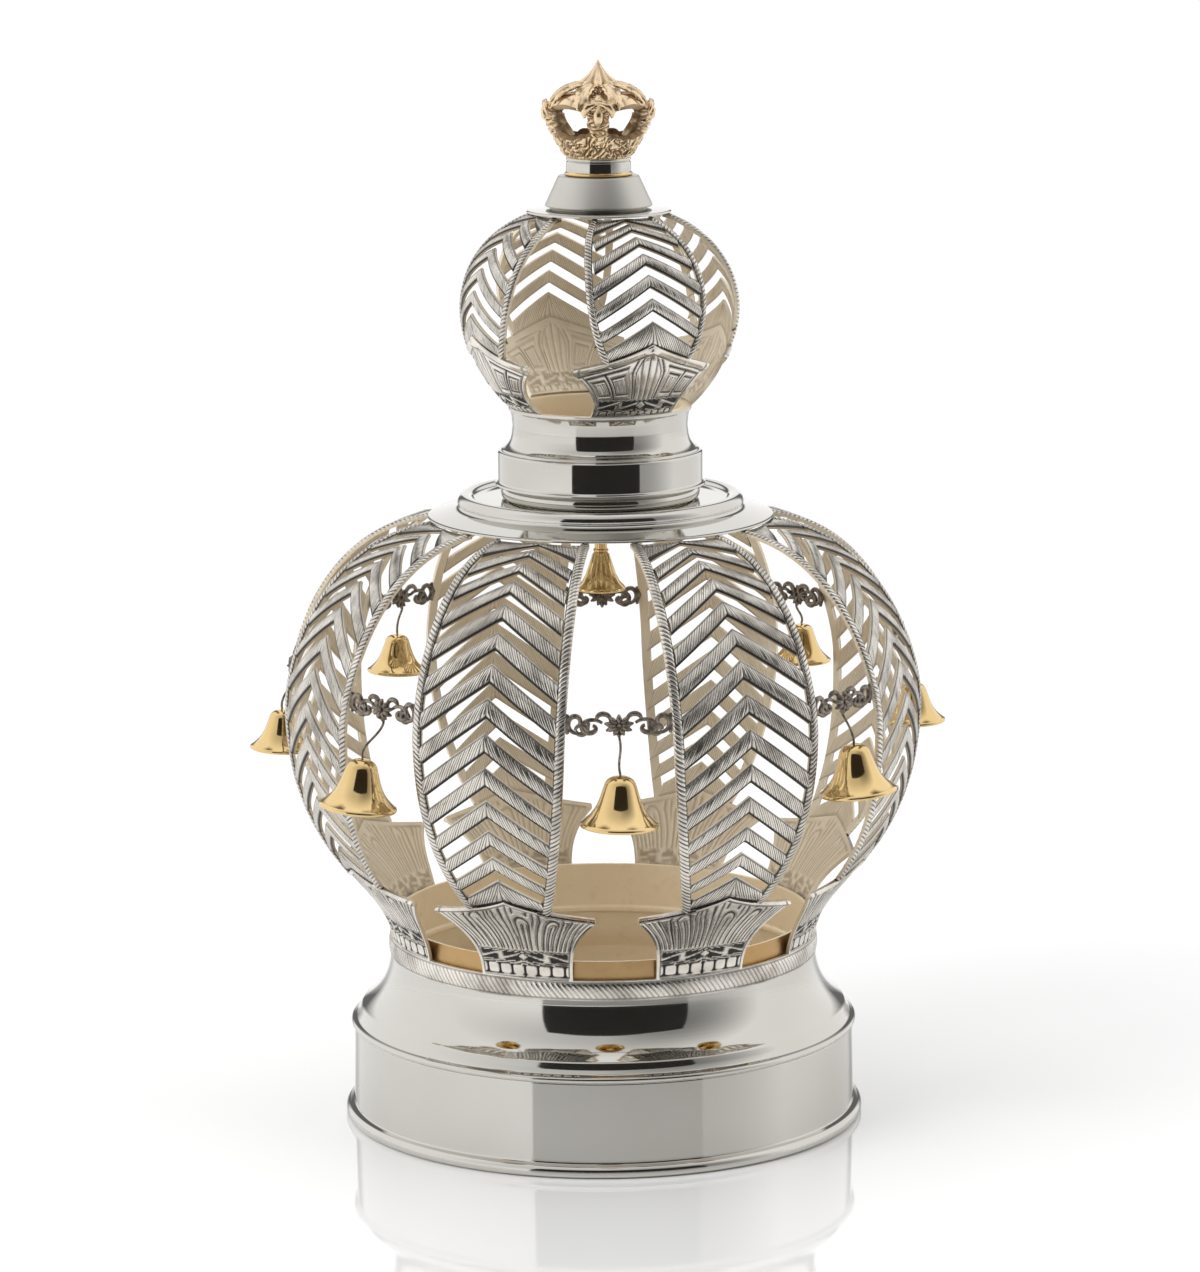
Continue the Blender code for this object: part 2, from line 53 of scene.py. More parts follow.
# Shader maths: a socket that can be added, multiplied and compared in plain expressions
class Value:
    def __init__(self, graph, socket):
        self.graph = graph
        self.socket = socket

    def _math(self, operation, a, b=0.0):
        node = self.graph.node("ShaderNodeMath", {"operation": operation}, {0: a, 1: b})
        return Value(self.graph, node.outputs[0])

    def __add__(self, other):
        return self._math("ADD", self, other)

    def __radd__(self, other):
        return self._math("ADD", other, self)

    def __sub__(self, other):
        return self._math("SUBTRACT", self, other)

    def __rsub__(self, other):
        return self._math("SUBTRACT", other, self)

    def __mul__(self, other):
        return self._math("MULTIPLY", self, other)

    def __rmul__(self, other):
        return self._math("MULTIPLY", other, self)

    def __truediv__(self, other):
        return self._math("DIVIDE", self, other)

    def __rtruediv__(self, other):
        return self._math("DIVIDE", other, self)

    def positive(self):
        return self._math("MAXIMUM", self, 0.0)

    def clamped(self):
        return self._math("MINIMUM", self.positive(), 1.0)

    def size(self):
        return self._math("ABSOLUTE", self)

    # Climbs from 0 to 1 between two values
    def ramp(self, low, high):
        return ((self - low) / (high - low)).clamped()


class Graph:
    def __init__(self, tree, coords):
        self.tree = tree
        self.coords = self.node("ShaderNodeTexCoord", {}, {}).outputs[coords]

    # A new finish, with its output ready
    @classmethod
    def forMaterial(cls, name):
        material = bpy.data.materials.new(name)
        material.use_nodes = True
        material.node_tree.nodes.clear()
        graph = cls(material.node_tree, "Object")
        graph.material = material
        graph.output = graph.tree.nodes.new("ShaderNodeOutputMaterial")
        return graph

    def node(self, kind, settings, inputs):
        made = self.tree.nodes.new(kind)
        for key, value in settings.items():
            setattr(made, key, value)
        for key, value in inputs.items():
            if isinstance(value, Value):
                value = value.socket
            if isinstance(value, bpy.types.NodeSocket):
                self.tree.links.new(value, made.inputs[key])
            else:
                made.inputs[key].default_value = value
        return made

    def noise(self, scale, detail=3.0):
        made = self.node(
            "ShaderNodeTexNoise",
            {},
            {"Vector": self.coords, "Scale": scale, "Detail": detail, "Roughness": 0.55},
        )
        return Value(self, made.outputs["Fac"])

    def separate(self, vector):
        made = self.node("ShaderNodeSeparateXYZ", {}, {0: vector})
        return [Value(self, made.outputs[axis]) for axis in range(3)]

    def attribute(self, name):
        made = self.node("ShaderNodeAttribute", {"attribute_name": name}, {})
        return Value(self, made.outputs["Fac"])

    def blend(self, factor, a, b):
        made = self.node("ShaderNodeMix", {"data_type": "RGBA"}, {0: factor, 6: a, 7: b})
        return made.outputs[2]

    def bump(self, height, strength, distance):
        made = self.node(
            "ShaderNodeBump", {}, {"Height": height, "Strength": strength, "Distance": distance}
        )
        return made.outputs["Normal"]

    def finish(self, inputs):
        shader = self.node("ShaderNodeBsdfPrincipled", {}, inputs)
        self.tree.links.new(shader.outputs[0], self.output.inputs[0])
        return self.material


def rgba(colour):
    return (*colour, 1.0)


polishLook = {
    "silver": (0.605, 0.59, 0.555),
    "haze": (0.525, 0.50, 0.45),
    "roughness": 0.06,
    "satin": 0.40,
    "smudges": 0.10,
}


def makePolishedSilver(name, roughness):
    g = Graph.forMaterial(name)
    cloud = g.noise(14.0, 2.0)
    smudge = g.noise(55.0, 4.0)
    hazy = (cloud * 1.6 - 0.55).clamped()
    colour = g.blend(hazy, rgba(polishLook["silver"]), rgba(polishLook["haze"]))
    uneven = (smudge - 0.45).clamped() * polishLook["smudges"]
    return g.finish({"Base Color": colour, "Metallic": 1.0, "Roughness": roughness + uneven})


engravedLook = {
    "silver": (0.82, 0.775, 0.705),
    "oxide": (0.014, 0.012, 0.010),
    "stain": (0.20, 0.17, 0.135),
    "roughness": 0.15,
    "grainBump": 0.10,
}


def makeEngravedSilver():
    g = Graph.forMaterial("engravedSilver")
    cut = g.attribute("cut")
    patch = g.noise(70.0, 4.0)
    grain = g.noise(1400.0, 3.0)
    worn = (cut * (0.95 + patch * 0.6)).clamped()
    stain = (patch * 2.8 - 1.2).clamped() * 0.8
    stained = g.blend(stain, rgba(engravedLook["silver"]), rgba(engravedLook["stain"]))
    colour = g.blend(worn, stained, rgba(engravedLook["oxide"]))
    roughness = engravedLook["roughness"] + worn * 0.35 + (grain - 0.5) * 0.15
    return g.finish(
        {
            "Base Color": colour,
            "Metallic": 1.0 - worn * 0.9,
            "Roughness": roughness,
            "Normal": g.bump(grain, engravedLook["grainBump"], 0.0002),
        }
    )


# Three gildings: the leaves' backs, the insides, and the sleeve as seen between the capitals, the
# last a darker copy that paints the shade inside the crown
giltLook = {
    "leafBack": {
        "gold": (0.80, 0.69, 0.52),
        "pale": (0.86, 0.79, 0.655),
        "roughness": 0.38,
        "metallic": 0.55,
    },
    "inside": {
        "gold": (0.96, 0.81, 0.58),
        "pale": (0.97, 0.87, 0.68),
        "roughness": 0.40,
        "metallic": 0.32,
    },
    # Darker, deeper gold: painted shade on the sleeve's outer face, deep inside the crown behind
    # the capitals
    "arch": {
        "gold": (0.48, 0.30, 0.13),
        "pale": (0.55, 0.38, 0.19),
        "roughness": 0.30,
        "metallic": 0.95,
    },
    "brown": (0.24, 0.16, 0.08),
    "hammerBump": 0.35,
}


def makeGilt(name, look):
    g = Graph.forMaterial(name)
    cut = g.attribute("cut")
    cloud = g.noise(26.0)
    hammer = g.noise(230.0)
    warm = g.blend((cloud * 1.8 - 0.6).clamped(), rgba(look["gold"]), rgba(look["pale"]))
    dark = (cut * 0.56 + (hammer * 2.2 - 1.25).clamped() * 0.30).clamped()
    return g.finish(
        {
            "Base Color": g.blend(dark, warm, rgba(giltLook["brown"])),
            "Metallic": look["metallic"] - dark * 0.3,
            "Roughness": look["roughness"] + (hammer - 0.5) * 0.18,
            "Normal": g.bump(hammer, giltLook["hammerBump"], 0.0004),
        }
    )


bellLook = {"gold": (0.78, 0.575, 0.28), "deep": (0.58, 0.39, 0.15), "roughness": 0.09}


def makeBellGold():
    g = Graph.forMaterial("bellGold")
    cloud = g.noise(60.0, 3.0)
    grain = g.noise(500.0, 2.0)
    deeper = (cloud * 1.6 - 0.5).clamped() * 0.6
    colour = g.blend(deeper, rgba(bellLook["gold"]), rgba(bellLook["deep"]))
    return g.finish(
        {
            "Base Color": colour,
            "Metallic": 1.0,
            "Roughness": bellLook["roughness"] + (grain - 0.5) * 0.10,
            "Normal": g.bump(grain, 0.05, 0.0001),
        }
    )


castLook = {
    "gold": (0.82, 0.635, 0.415),
    "recess": (0.15, 0.08, 0.035),
    "roughness": 0.24,
}


def makeCastGold():
    g = Graph.forMaterial("castGold")
    cut = g.attribute("cut")
    pit = g.noise(420.0, 4.0)
    dark = (cut * 0.95 + (pit - 0.56).clamped() * 1.8).clamped()
    return g.finish(
        {
            "Base Color": g.blend(dark, rgba(castLook["gold"]), rgba(castLook["recess"])),
            "Metallic": 1.0 - dark * 0.7,
            "Roughness": castLook["roughness"] + dark * 0.3,
            "Normal": g.bump(pit, 0.35, 0.0005),
        }
    )


scrollLook = {"metal": (0.30, 0.26, 0.22), "recess": (0.03, 0.022, 0.016), "roughness": 0.30}


def makeScrollMetal():
    g = Graph.forMaterial("scrollMetal")
    pit = g.noise(600.0, 4.0)
    dark = (pit * 2.4 - 0.95).clamped()
    return g.finish(
        {
            "Base Color": g.blend(dark, rgba(scrollLook["metal"]), rgba(scrollLook["recess"])),
            "Metallic": 1.0,
            "Roughness": scrollLook["roughness"] + dark * 0.2,
            "Normal": g.bump(pit, 0.4, 0.0004),
        }
    )


floorLook = {"white": (0.93, 0.93, 0.93), "roughness": 0.035, "gloss": 2.1}


def makeFloorWhite():
    g = Graph.forMaterial("floorWhite")
    dust = g.noise(3.0, 2.0)
    return g.finish(
        {
            "Base Color": rgba(floorLook["white"]),
            "Roughness": floorLook["roughness"] + dust * 0.02,
            "IOR": floorLook["gloss"],
        }
    )


cardLook = {"black": (0.012, 0.011, 0.010), "faded": (0.03, 0.027, 0.023), "roughness": 0.95}


def makeDarkCard():
    g = Graph.forMaterial("darkCard")
    colour = g.blend(g.noise(6.0) * 0.5, rgba(cardLook["black"]), rgba(cardLook["faded"]))
    return g.finish({"Base Color": colour, "Roughness": cardLook["roughness"]})


polishedSilver = makePolishedSilver("polishedSilver", polishLook["roughness"])
satinSilver = makePolishedSilver("satinSilver", polishLook["satin"])
engravedSilver = makeEngravedSilver()
gilt = makeGilt("gilt", giltLook["leafBack"])
insideGilt = makeGilt("insideGilt", giltLook["inside"])
# The sleeve's outer face: the gilt darkened as painted shade
shadedArchGilt = makeGilt("shadedArchGilt", giltLook["arch"])
bellGold = makeBellGold()
castGold = makeCastGold()
scrollMetal = makeScrollMetal()
floorWhite = makeFloorWhite()
darkCard = makeDarkCard()
print("finishes made")


# Mesh building: grids of points, with how deep each point is cut
class Build:
    def __init__(self):
        self.points = []
        self.cuts = []
        self.faces = []
        self.slots = []
        self.count = 0

    def addPoints(self, points, cuts):
        points = np.asarray(points, float)
        start = self.count
        self.points.append(points.reshape(-1, 3))
        self.cuts.append(np.broadcast_to(cuts, points.shape[:-1]).reshape(-1))
        self.count += len(self.points[-1])
        return start

    def addQuads(self, a, b, c, d, slot):
        quads = np.stack([np.ravel(a), np.ravel(b), np.ravel(c), np.ravel(d)], 1)
        self.faces.append(quads)
        self.slots.append(np.full(len(quads), slot))

    def grid(self, points, cuts=0.0, slot=0, roundTrip=False, flip=False):
        rows, columns = points.shape[:2]
        index = self.addPoints(points, cuts) + np.arange(rows * columns).reshape(rows, columns)
        after = np.roll(index, -1, axis=1) if roundTrip else index[:, 1:]
        here = index if roundTrip else index[:, :-1]
        a, b, c, d = here[:-1], after[:-1], after[1:], here[1:]
        if flip:
            a, b, c, d = a, d, c, b
        self.addQuads(a, b, c, d, slot)
        return index

    # A plate: a worked front, a back that shows some of it, and the edges between them
    def slab(self, front, back, cuts, backCuts, edgeSlot=1):
        top = self.grid(front, cuts)
        under = self.grid(back, backCuts, slot=1, flip=True)
        self.addQuads(under[0, :-1], under[0, 1:], top[0, 1:], top[0, :-1], edgeSlot)
        self.addQuads(top[-1, :-1], top[-1, 1:], under[-1, 1:], under[-1, :-1], edgeSlot)

    def mesh(self, name, materials, sharpAngle=40):
        points = np.concatenate(self.points)
        faces = np.concatenate(self.faces)
        slots = np.concatenate(self.slots)
        made = bpy.data.meshes.new(name)
        made.vertices.add(len(points))
        made.vertices.foreach_set("co", (points * mm).ravel())
        made.loops.add(faces.size)
        made.loops.foreach_set("vertex_index", faces.ravel())
        made.polygons.add(len(faces))
        made.polygons.foreach_set("loop_start", np.arange(len(faces)) * 4)
        made.update(calc_edges=True)
        made.polygons.foreach_set("material_index", slots.astype(int))
        cut = made.attributes.new("cut", "FLOAT", "POINT")
        cut.data.foreach_set("value", np.concatenate(self.cuts))
        for material in materials:
            made.materials.append(material)
        made.shade_smooth()
        made.set_sharp_from_angle(angle=math.radians(sharpAngle))
        made.validate()
        return made


def clipped(values):
    return np.clip(values, 0, 1)


def placePiece(name, mesh, nodes, azimuth=0.0, offset=(0.0, 0.0, 0.0), tilt=0.0):
    piece = bpy.data.objects.new(name, mesh)
    bpy.context.scene.collection.objects.link(piece)
    place = Matrix.Rotation(azimuth, 4, "Z") @ Vector(offset)
    turn = Matrix.Rotation(math.radians(tilt), 4, "Y") @ Matrix.Rotation(azimuth, 4, "Z")
    piece.matrix_world = Matrix.Translation(crownAxis + place) @ turn
    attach(piece, "root")
    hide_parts(*nodes)


# A turned outline in mm, each corner eased with a small arc so that it catches the light
def easedOutline(points, ease=0.5, steps=4):
    found = [np.array(points[0], float)]
    for before, corner, after in zip(points, points[1:], points[2:]):
        before, corner, after = (np.array(p, float) for p in (before, corner, after))
        inLength, outLength = np.linalg.norm(corner - before), np.linalg.norm(after - corner)
        reach = min(ease, 0.45 * inLength, 0.45 * outLength)
        start = corner + (before - corner) / max(inLength, 1e-9) * reach
        end = corner + (after - corner) / max(outLength, 1e-9) * reach
        for t in np.linspace(0, 1, steps):
            found.append((1 - t) ** 2 * start + 2 * (1 - t) * t * corner + t**2 * end)
    found.append(np.array(points[-1], float))
    return np.array(found)


def turnOutline(outline, segments):
    angles = np.linspace(0, 2 * math.pi, segments, endpoint=False)
    radii, heights = np.asarray(outline).T
    x = radii[:, None] * np.sin(angles)
    y = -radii[:, None] * np.cos(angles)
    z = np.broadcast_to(heights[:, None], x.shape)
    return np.stack([x, y, z], 2)


# Profiles run up the outside and down the inside
def turnedMesh(name, outline, segments, material, sharpAngle):
    build = Build()
    build.grid(turnOutline(outline, segments), roundTrip=True)
    return build.mesh(name, [material], sharpAngle)


# A turned piece whose outline has two finishes, one after the other
def twoPartMesh(name, first, second, ease, segments, materials):
    build = Build()
    for slot, outline in enumerate((first, second)):
        build.grid(turnOutline(easedOutline(outline, ease, 4), segments), slot=slot, roundTrip=True)
    return build.mesh(name, materials, 28)


# Points on a smooth bend, without its two ends
def curveThrough(start, control, end, count):
    t = np.linspace(0, 1, count + 2)[1:-1, None]
    start, control, end = (np.array(p, float) for p in (start, control, end))
    return [tuple(p) for p in (1 - t) ** 2 * start + 2 * (1 - t) * t * control + t**2 * end]


foot = {
    "radius": 91.0,
    "band": 88.0,
    "bandTop": 32.3,
    "shoulder": (85.0, 39.0),
    "flare": (75.5, 45.0),
    "throat": (74.7, 57.7),
    "wall": 1.5,
    "segments": 192,
}


def makeFoot():
    radius, band, top, wall = foot["radius"], foot["band"], foot["bandTop"], foot["wall"]
    shoulderRadius, shoulderHeight = foot["shoulder"]
    throatRadius, throatHeight = foot["throat"]
    flare = curveThrough(foot["shoulder"], foot["flare"], foot["throat"], 14)
    outside = [
        (radius - 1.4, 0.0),
        (radius - 0.3, 0.7),
        (radius, 1.9),
        (radius - 0.2, 3.1),
        (radius - 1.1, 4.1),
        (band + 0.2, 4.6),
        (band + 0.1, 5.4),
        (band - 0.4, top - 0.3),
        (band - 0.5, top),
        (band + 0.4, top + 0.4),
        (band + 0.8, top + 1.3),
        (band + 0.4, top + 2.2),
        (band - 0.6, top + 2.7),
        (band - 1.2, top + 3.0),
        (shoulderRadius + 0.8, top + 4.6),
        foot["shoulder"],
        *flare,
        foot["throat"],
    ]
    inside = [
        (throatRadius - wall, throatHeight),
        (throatRadius - wall, throatHeight - 5.6),
        *[(r - wall, z - 0.9) for r, z in reversed(flare[2:9])],
        (shoulderRadius - wall, shoulderHeight - 1.6),
        (band - 2.1, top - 1.0),
        (band - 2.1, 0.0),
        (radius - 1.4, 0.0),
    ]
    outside = easedOutline(outside, 0.4, 3)
    inside = easedOutline(inside, 0.4, 3)
    ring = turnOutline(np.concatenate([outside, inside]), foot["segments"])
    build = Build()
    build.grid(ring[: len(outside) + 1], roundTrip=True)
    build.grid(ring[len(outside) :], slot=1, roundTrip=True)
    return build.mesh("foot", [polishedSilver, insideGilt], 30)


placePiece("foot", makeFoot(), ["base"])


sleeve = {"outer": 72.8, "wall": 1.2, "low": 53.0, "high": 71.0, "segments": 180}


def makeSleeve():
    outer, inner = sleeve["outer"], sleeve["outer"] - sleeve["wall"]
    low, high = sleeve["low"], sleeve["high"]
    outside = easedOutline([(inner, low), (outer, low), (outer, high)], 0.3, 4)
    lip = [(inner, low + 2.6), (inner - 0.8, low + 1.9), (inner - 0.9, low + 0.6)]
    inside = easedOutline([(outer, high), (inner, high), *lip, (inner, low)], 0.3, 4)
    build = Build()
    build.grid(turnOutline(outside, sleeve["segments"]), slot=1, roundTrip=True)
    build.grid(turnOutline(inside, sleeve["segments"]), roundTrip=True)
    # The outer face takes the darker gilt, which paints the shade inside the crown
    return build.mesh("innerSleeve", [insideGilt, shadedArchGilt], 35)


placePiece("innerSleeve", makeSleeve(), ["inner_sleeve"])


ropeRing = {
    "inner": 73.1,
    "radius": 74.8,
    "bulge": 0.5,
    "low": 57.75,
    "high": 64.6,
    "strokes": 245,
    "lean": 0.72,
    "depth": 0.35,
    "strokeCut": 0.55,
    "lineCut": 0.5,
    "backSegments": 160,
}

# Where the three points of each cut stroke lie, and how deep they are
strokeSteps = np.array([0.0, 0.25, 0.72])
strokeDepths = np.array([1.0, 0.06, 0.0])


def strokeRow(count, seed, uneven=0.12):
    rng = np.random.default_rng(seed)
    index = np.arange(count)[:, None]
    shift = rng.uniform(-uneven, uneven, (count, 1))
    places = (index + strokeSteps + shift * (strokeSteps == 0.0)).ravel()
    deep = 1.0 - rng.uniform(0.0, 0.45, (count, 1))
    return places, (strokeDepths * deep).ravel()


def makeRopeRing():
    low, high, radius, inner = (ropeRing[key] for key in ("low", "high", "radius", "inner"))
    places, depths = strokeRow(ropeRing["strokes"], 3, 0.06)
    pitch = 2 * math.pi / ropeRing["strokes"]
    share = np.array([0.0, 0.10, 0.17, 0.30, 0.50, 0.70, 0.84, 0.91, 1.0])[:, None]
    heights = low + share * (high - low)
    lean = ropeRing["lean"] * (heights - (low + high) / 2) / radius
    angles = places[None, :] * pitch - lean
    hatched = ((share > 0.15) & (share < 0.86)).astype(float)
    line = ((np.abs(share - 0.10) < 0.01) | (np.abs(share - 0.91) < 0.01)).astype(float)
    cut = clipped(ropeRing["strokeCut"] * depths[None, :] * hatched + ropeRing["lineCut"] * line)
    radii = radius + ropeRing["bulge"] * np.sin(math.pi * share) - ropeRing["depth"] * cut
    heights = np.broadcast_to(heights, radii.shape)
    face = np.stack([radii * np.sin(angles), -radii * np.cos(angles), heights], 2)
    back = easedOutline([(radius, high), (inner, high), (inner, low), (radius, low)], 0.3, 3)
    build = Build()
    build.grid(face, cut, roundTrip=True)
    build.grid(turnOutline(back, ropeRing["backSegments"]), slot=1, roundTrip=True)
    return build.mesh("ropeRing", [engravedSilver, gilt], 50)


placePiece("ropeRing", makeRopeRing(), ["rope_ring"])
print("foot, sleeve and rope ring made")


# The outline of a bulb in mm, followed by the distance along it
class Outline:
    def __init__(self, curves):
        t = np.linspace(0, 1, 80)[:, None]
        parts = []
        for a, b, c, d in curves:
            a, b, c, d = (np.array(p, float) for p in (a, b, c, d))
            start, end = (1 - t) ** 3 * a + 3 * (1 - t) ** 2 * t * b, 3 * (1 - t) * t**2 * c
            parts.append(start + end + t**3 * d)
        points = np.concatenate(parts)
        keep = np.concatenate([[True], np.hypot(*np.diff(points, axis=0).T) > 1e-6])
        points = points[keep]
        lengths = np.hypot(*np.diff(points, axis=0).T)
        self.along = np.concatenate([[0.0], np.cumsum(lengths)])
        self.length = float(self.along[-1])
        self.radii, self.heights = points.T
        slope = np.gradient(points, self.along, axis=0)
        self.slopes = slope / np.linalg.norm(slope, axis=1)[:, None]

    # Points on the bulb: across and along its surface, and out from it
    def place(self, across, along, out):
        across, along, out = np.broadcast_arrays(across, along, out)
        radii, heights, slopeR, slopeZ = (
            np.interp(along, self.along, values)
            for values in (self.radii, self.heights, *self.slopes.T)
        )
        angle = across / radii
        reach = radii + out * slopeZ
        return np.stack([reach * np.sin(angle), -reach * np.cos(angle), heights - out * slopeR], 2)

    def alongAt(self, height):
        return float(np.interp(height, self.heights, self.along))

    def radiusAt(self, along):
        return float(np.interp(along, self.along, self.radii))


largeBulb = Outline(
    [
        ((74.7, 57.8), (74.7, 57.8), (74.7, 62.0), (74.7, 62.0)),
        ((74.7, 62.0), (74.7, 86.8), (110.7, 91.6), (110.7, 149.0)),
        ((110.7, 149.0), (110.7, 164.7), (97.8, 206.7), (58.0, 211.2)),
    ]
)
smallBulb = Outline(
    [
        ((31.5, 250.3), (38.3, 255.8), (47.6, 270.4), (47.6, 284.0)),
        ((47.6, 284.0), (47.6, 292.9), (43.8, 308.9), (22.0, 316.8)),
    ]
)

largeLeaf = {
    "foot": 6.7,
    "footHalf": 16.5,
    "tip": 0.180 * largeBulb.length,
    "tipHalf": 29.2,
    "cornice": 0.235 * largeBulb.length,
    "corniceEdge": 1.6,
    "bow": 1.3,
    "corniceHalf": 17.2,
    "widest": 0.565 * largeBulb.length,
    "widestHalf": 27.2,
    "topHalf": 17.0,
    "rope": 3.4,
    "bars": 13,
    "lastBar": 0.968 * largeBulb.length,
    "barShare": 0.58,
    "spacingWave": 0.10,
    "fall": 0.74,
    "endBand": 1.6,
    "thickness": 1.15,
    "strokePitch": 1.12,
    "strokeLean": 0.60,
    "ropePitch": 1.6,
    "ropeLean": 0.62,
    "squares": 6.7,
    "flutes": 24,
    # Heights of the squares, the scroll band and the foot of the pattern above them
    "bandHeights": (1.0, 5.4, 6.6, 10.4, 11.5),
    "rim": 2.0,
    "boss": 0.0,
}

smallLeaf = {
    "foot": 0.0,
    "footHalf": 15.5,
    "tip": 0.245 * smallBulb.length,
    "tipHalf": 26.0,
    "cornice": 0.375 * smallBulb.length,
    "corniceEdge": 1.4,
    "bow": 1.0,
    "corniceHalf": 19.6,
    "widest": 0.56 * smallBulb.length,
    "widestHalf": 22.6,
    "topHalf": 11.0,
    "rope": 2.6,
    "bars": 6,
    "lastBar": 0.955 * smallBulb.length,
    "barShare": 0.56,
    "spacingWave": 0.05,
    "fall": 0.62,
    "endBand": 1.2,
    "thickness": 1.1,
    "strokePitch": 0.95,
    "strokeLean": 0.60,
    "ropePitch": 1.45,
    "ropeLean": 0.60,
    "squares": 11,
    "flutes": 0,
    "bandHeights": (0.8, 3.2, 3.9, 8.2, 8.8),
    "rim": 3.1,
    "boss": 1.3,
}


def leafHalf(leaf, bulb, along):
    below = (along - leaf["widest"]) / (leaf["widest"] - leaf["cornice"])
    above = (along - leaf["widest"]) / (bulb.length - leaf["widest"])
    endHalf = np.where(along < leaf["widest"], leaf["corniceHalf"], leaf["topHalf"])
    share = np.where(along < leaf["widest"], below, above)
    return leaf["widestHalf"] - (leaf["widestHalf"] - endHalf) * share**2


def capitalHalf(leaf, along):
    rise = np.clip((along - leaf["foot"]) / (leaf["tip"] - leaf["foot"]), 0, 1.15)
    return leaf["footHalf"] + (leaf["tipHalf"] - leaf["footHalf"]) * np.minimum(rise, 1.0) ** 2.3


def barTop(leaf, number):
    share = number / leaf["bars"]
    wave = leaf["spacingWave"] * math.sin(2 * math.pi * share) / (2 * math.pi)
    return leaf["cornice"] + (leaf["lastBar"] - leaf["cornice"]) * (share - wave)


# How far a leaf's cornice rises from its tips to its peak
def corniceRise(leaf):
    return leaf["cornice"] - leaf["tip"] - leaf["corniceEdge"]


# The lower and upper edge of a bar: the first stands on the cornice, the last has a flat top
def barLines(leaf, bottomPeak, topPeak, onCornice=False, flatTop=False):
    def low(across):
        if onCornice:
            return leaf["cornice"] - 1.3 - corniceRise(leaf) * np.abs(across) / leaf["tipHalf"]
        return bottomPeak - leaf["fall"] * np.abs(across)

    def high(across):
        return topPeak - (0.0 if flatTop else leaf["fall"]) * np.abs(across)

    return low, high


# One feathered bar: pillowed, edged with fine lines and cut with slanted strokes; its wide, fully
# dark low edge line also paints the shadow along the bar's lower edge
barShares = np.array([0.0, 0.10, 0.20, 0.50, 0.84, 0.925, 1.0])[:, None]


def addBar(build, bulb, leaf, low, high, seed):
    middle = float(low(0.0) + high(0.0)) / 2 - leaf["fall"] * 10
    half = float(leafHalf(leaf, bulb, np.array(middle))) - leaf["rope"] + 1.0
    strokes = int(half / leaf["strokePitch"])
    places, depths = strokeRow(strokes, seed)
    arm = places / strokes * half
    across = np.concatenate([-arm[:0:-1], arm])[None, :]
    depth = np.concatenate([depths[:0:-1], depths])[None, :]
    nearEnd = clipped((half - np.abs(across)) / 2.0)
    nearPeak = clipped(np.abs(across) / 2.0)
    lean = leaf["strokeLean"] * nearEnd * nearPeak
    across = across - np.sign(across) * lean * (barShares - 0.5) * (high(across) - low(across))
    along = low(across) + barShares * (high(across) - low(across))
    hatched = ((barShares > 0.15) & (barShares < 0.9)).astype(float)
    # The low edge line is widened and fully dark: an engraved line and a painted shadow under the
    # bar in one
    lowLineAndShadow = (barShares < 0.12).astype(float)
    lineHigh = (np.abs(barShares - 0.925) < 0.01).astype(float)
    cut = clipped(depth * hatched + lowLineAndShadow + 0.75 * lineHigh)
    out = -0.34 + 0.62 * np.sin(math.pi * barShares) ** 0.6 - 0.24 * cut
    front = bulb.place(across, along, out)
    behind = [0, 2, 3, 4, 6]
    back = bulb.place(across[behind], along[behind], -leaf["thickness"] - 0.14 * cut[behind])
    build.slab(front, back, cut, cut[behind])


def addRopeEdge(build, bulb, leaf, side, start, end):
    count = int((end - start) / leaf["ropePitch"])
    places, depths = strokeRow(count, 17, 0.05)
    place = np.linspace(-1, 1, 7)[None, :]
    along = start + places[:, None] * (end - start) / count
    along = along + leaf["ropeLean"] * side * place * leaf["rope"] / 2
    along = np.clip(along, start, end)
    centre = side * (leafHalf(leaf, bulb, along) - leaf["rope"] / 2)
    across = centre + place * leaf["rope"] / 2
    roundness = np.sqrt(clipped(1 - (place * 0.95) ** 2))
    line = (place * side < -0.9).astype(float)
    cut = clipped(depths[:, None] * clipped(roundness * 1.8) + line)
    out = -0.30 + 0.95 * roundness - 0.28 * cut
    front = bulb.place(across, along, out)
    back = bulb.place(across[:, [0, -1]], along[:, [0, -1]], -leaf["thickness"])
    top = build.grid(front, cut)
    under = build.grid(back, slot=1, flip=True)
    build.addQuads(under[:-1, 0], top[:-1, 0], top[1:, 0], under[1:, 0], 1)
    build.addQuads(top[:-1, -1], under[:-1, -1], under[1:, -1], top[1:, -1], 1)


# A line cut at one value, easing off to nothing a little way to either side
def lineAt(values, middle, width):
    return clipped(1 - np.abs(values - middle) / width)


# The capital's fan: swaying flutes, with three folded round small hooks
fluteHooks = ((0.13, 0.13, 0.62), (0.52, 0.11, 0.70), (-0.46, 0.10, 0.78))


def flutePattern(leaf, place, height):
    sway = 0.5 * np.sin(place * 7.0 + height * 2.5) + 0.25 * np.sin(place * 23.0)
    phase = place * leaf["flutes"] / 2 + sway * height
    for centre, reach, foot in fluteHooks:
        hook = np.hypot((place - centre) / reach, np.clip((height - foot) / 0.26, 0, 4))
        folded = (np.abs(place - centre) < reach) & (hook < 1.1)
        phase = np.where(folded, hook * reach * leaf["flutes"] / 2, phase)
    away = np.abs(phase - np.floor(phase) - 0.5)
    return clipped((away - 0.27) / 0.16) * 0.88


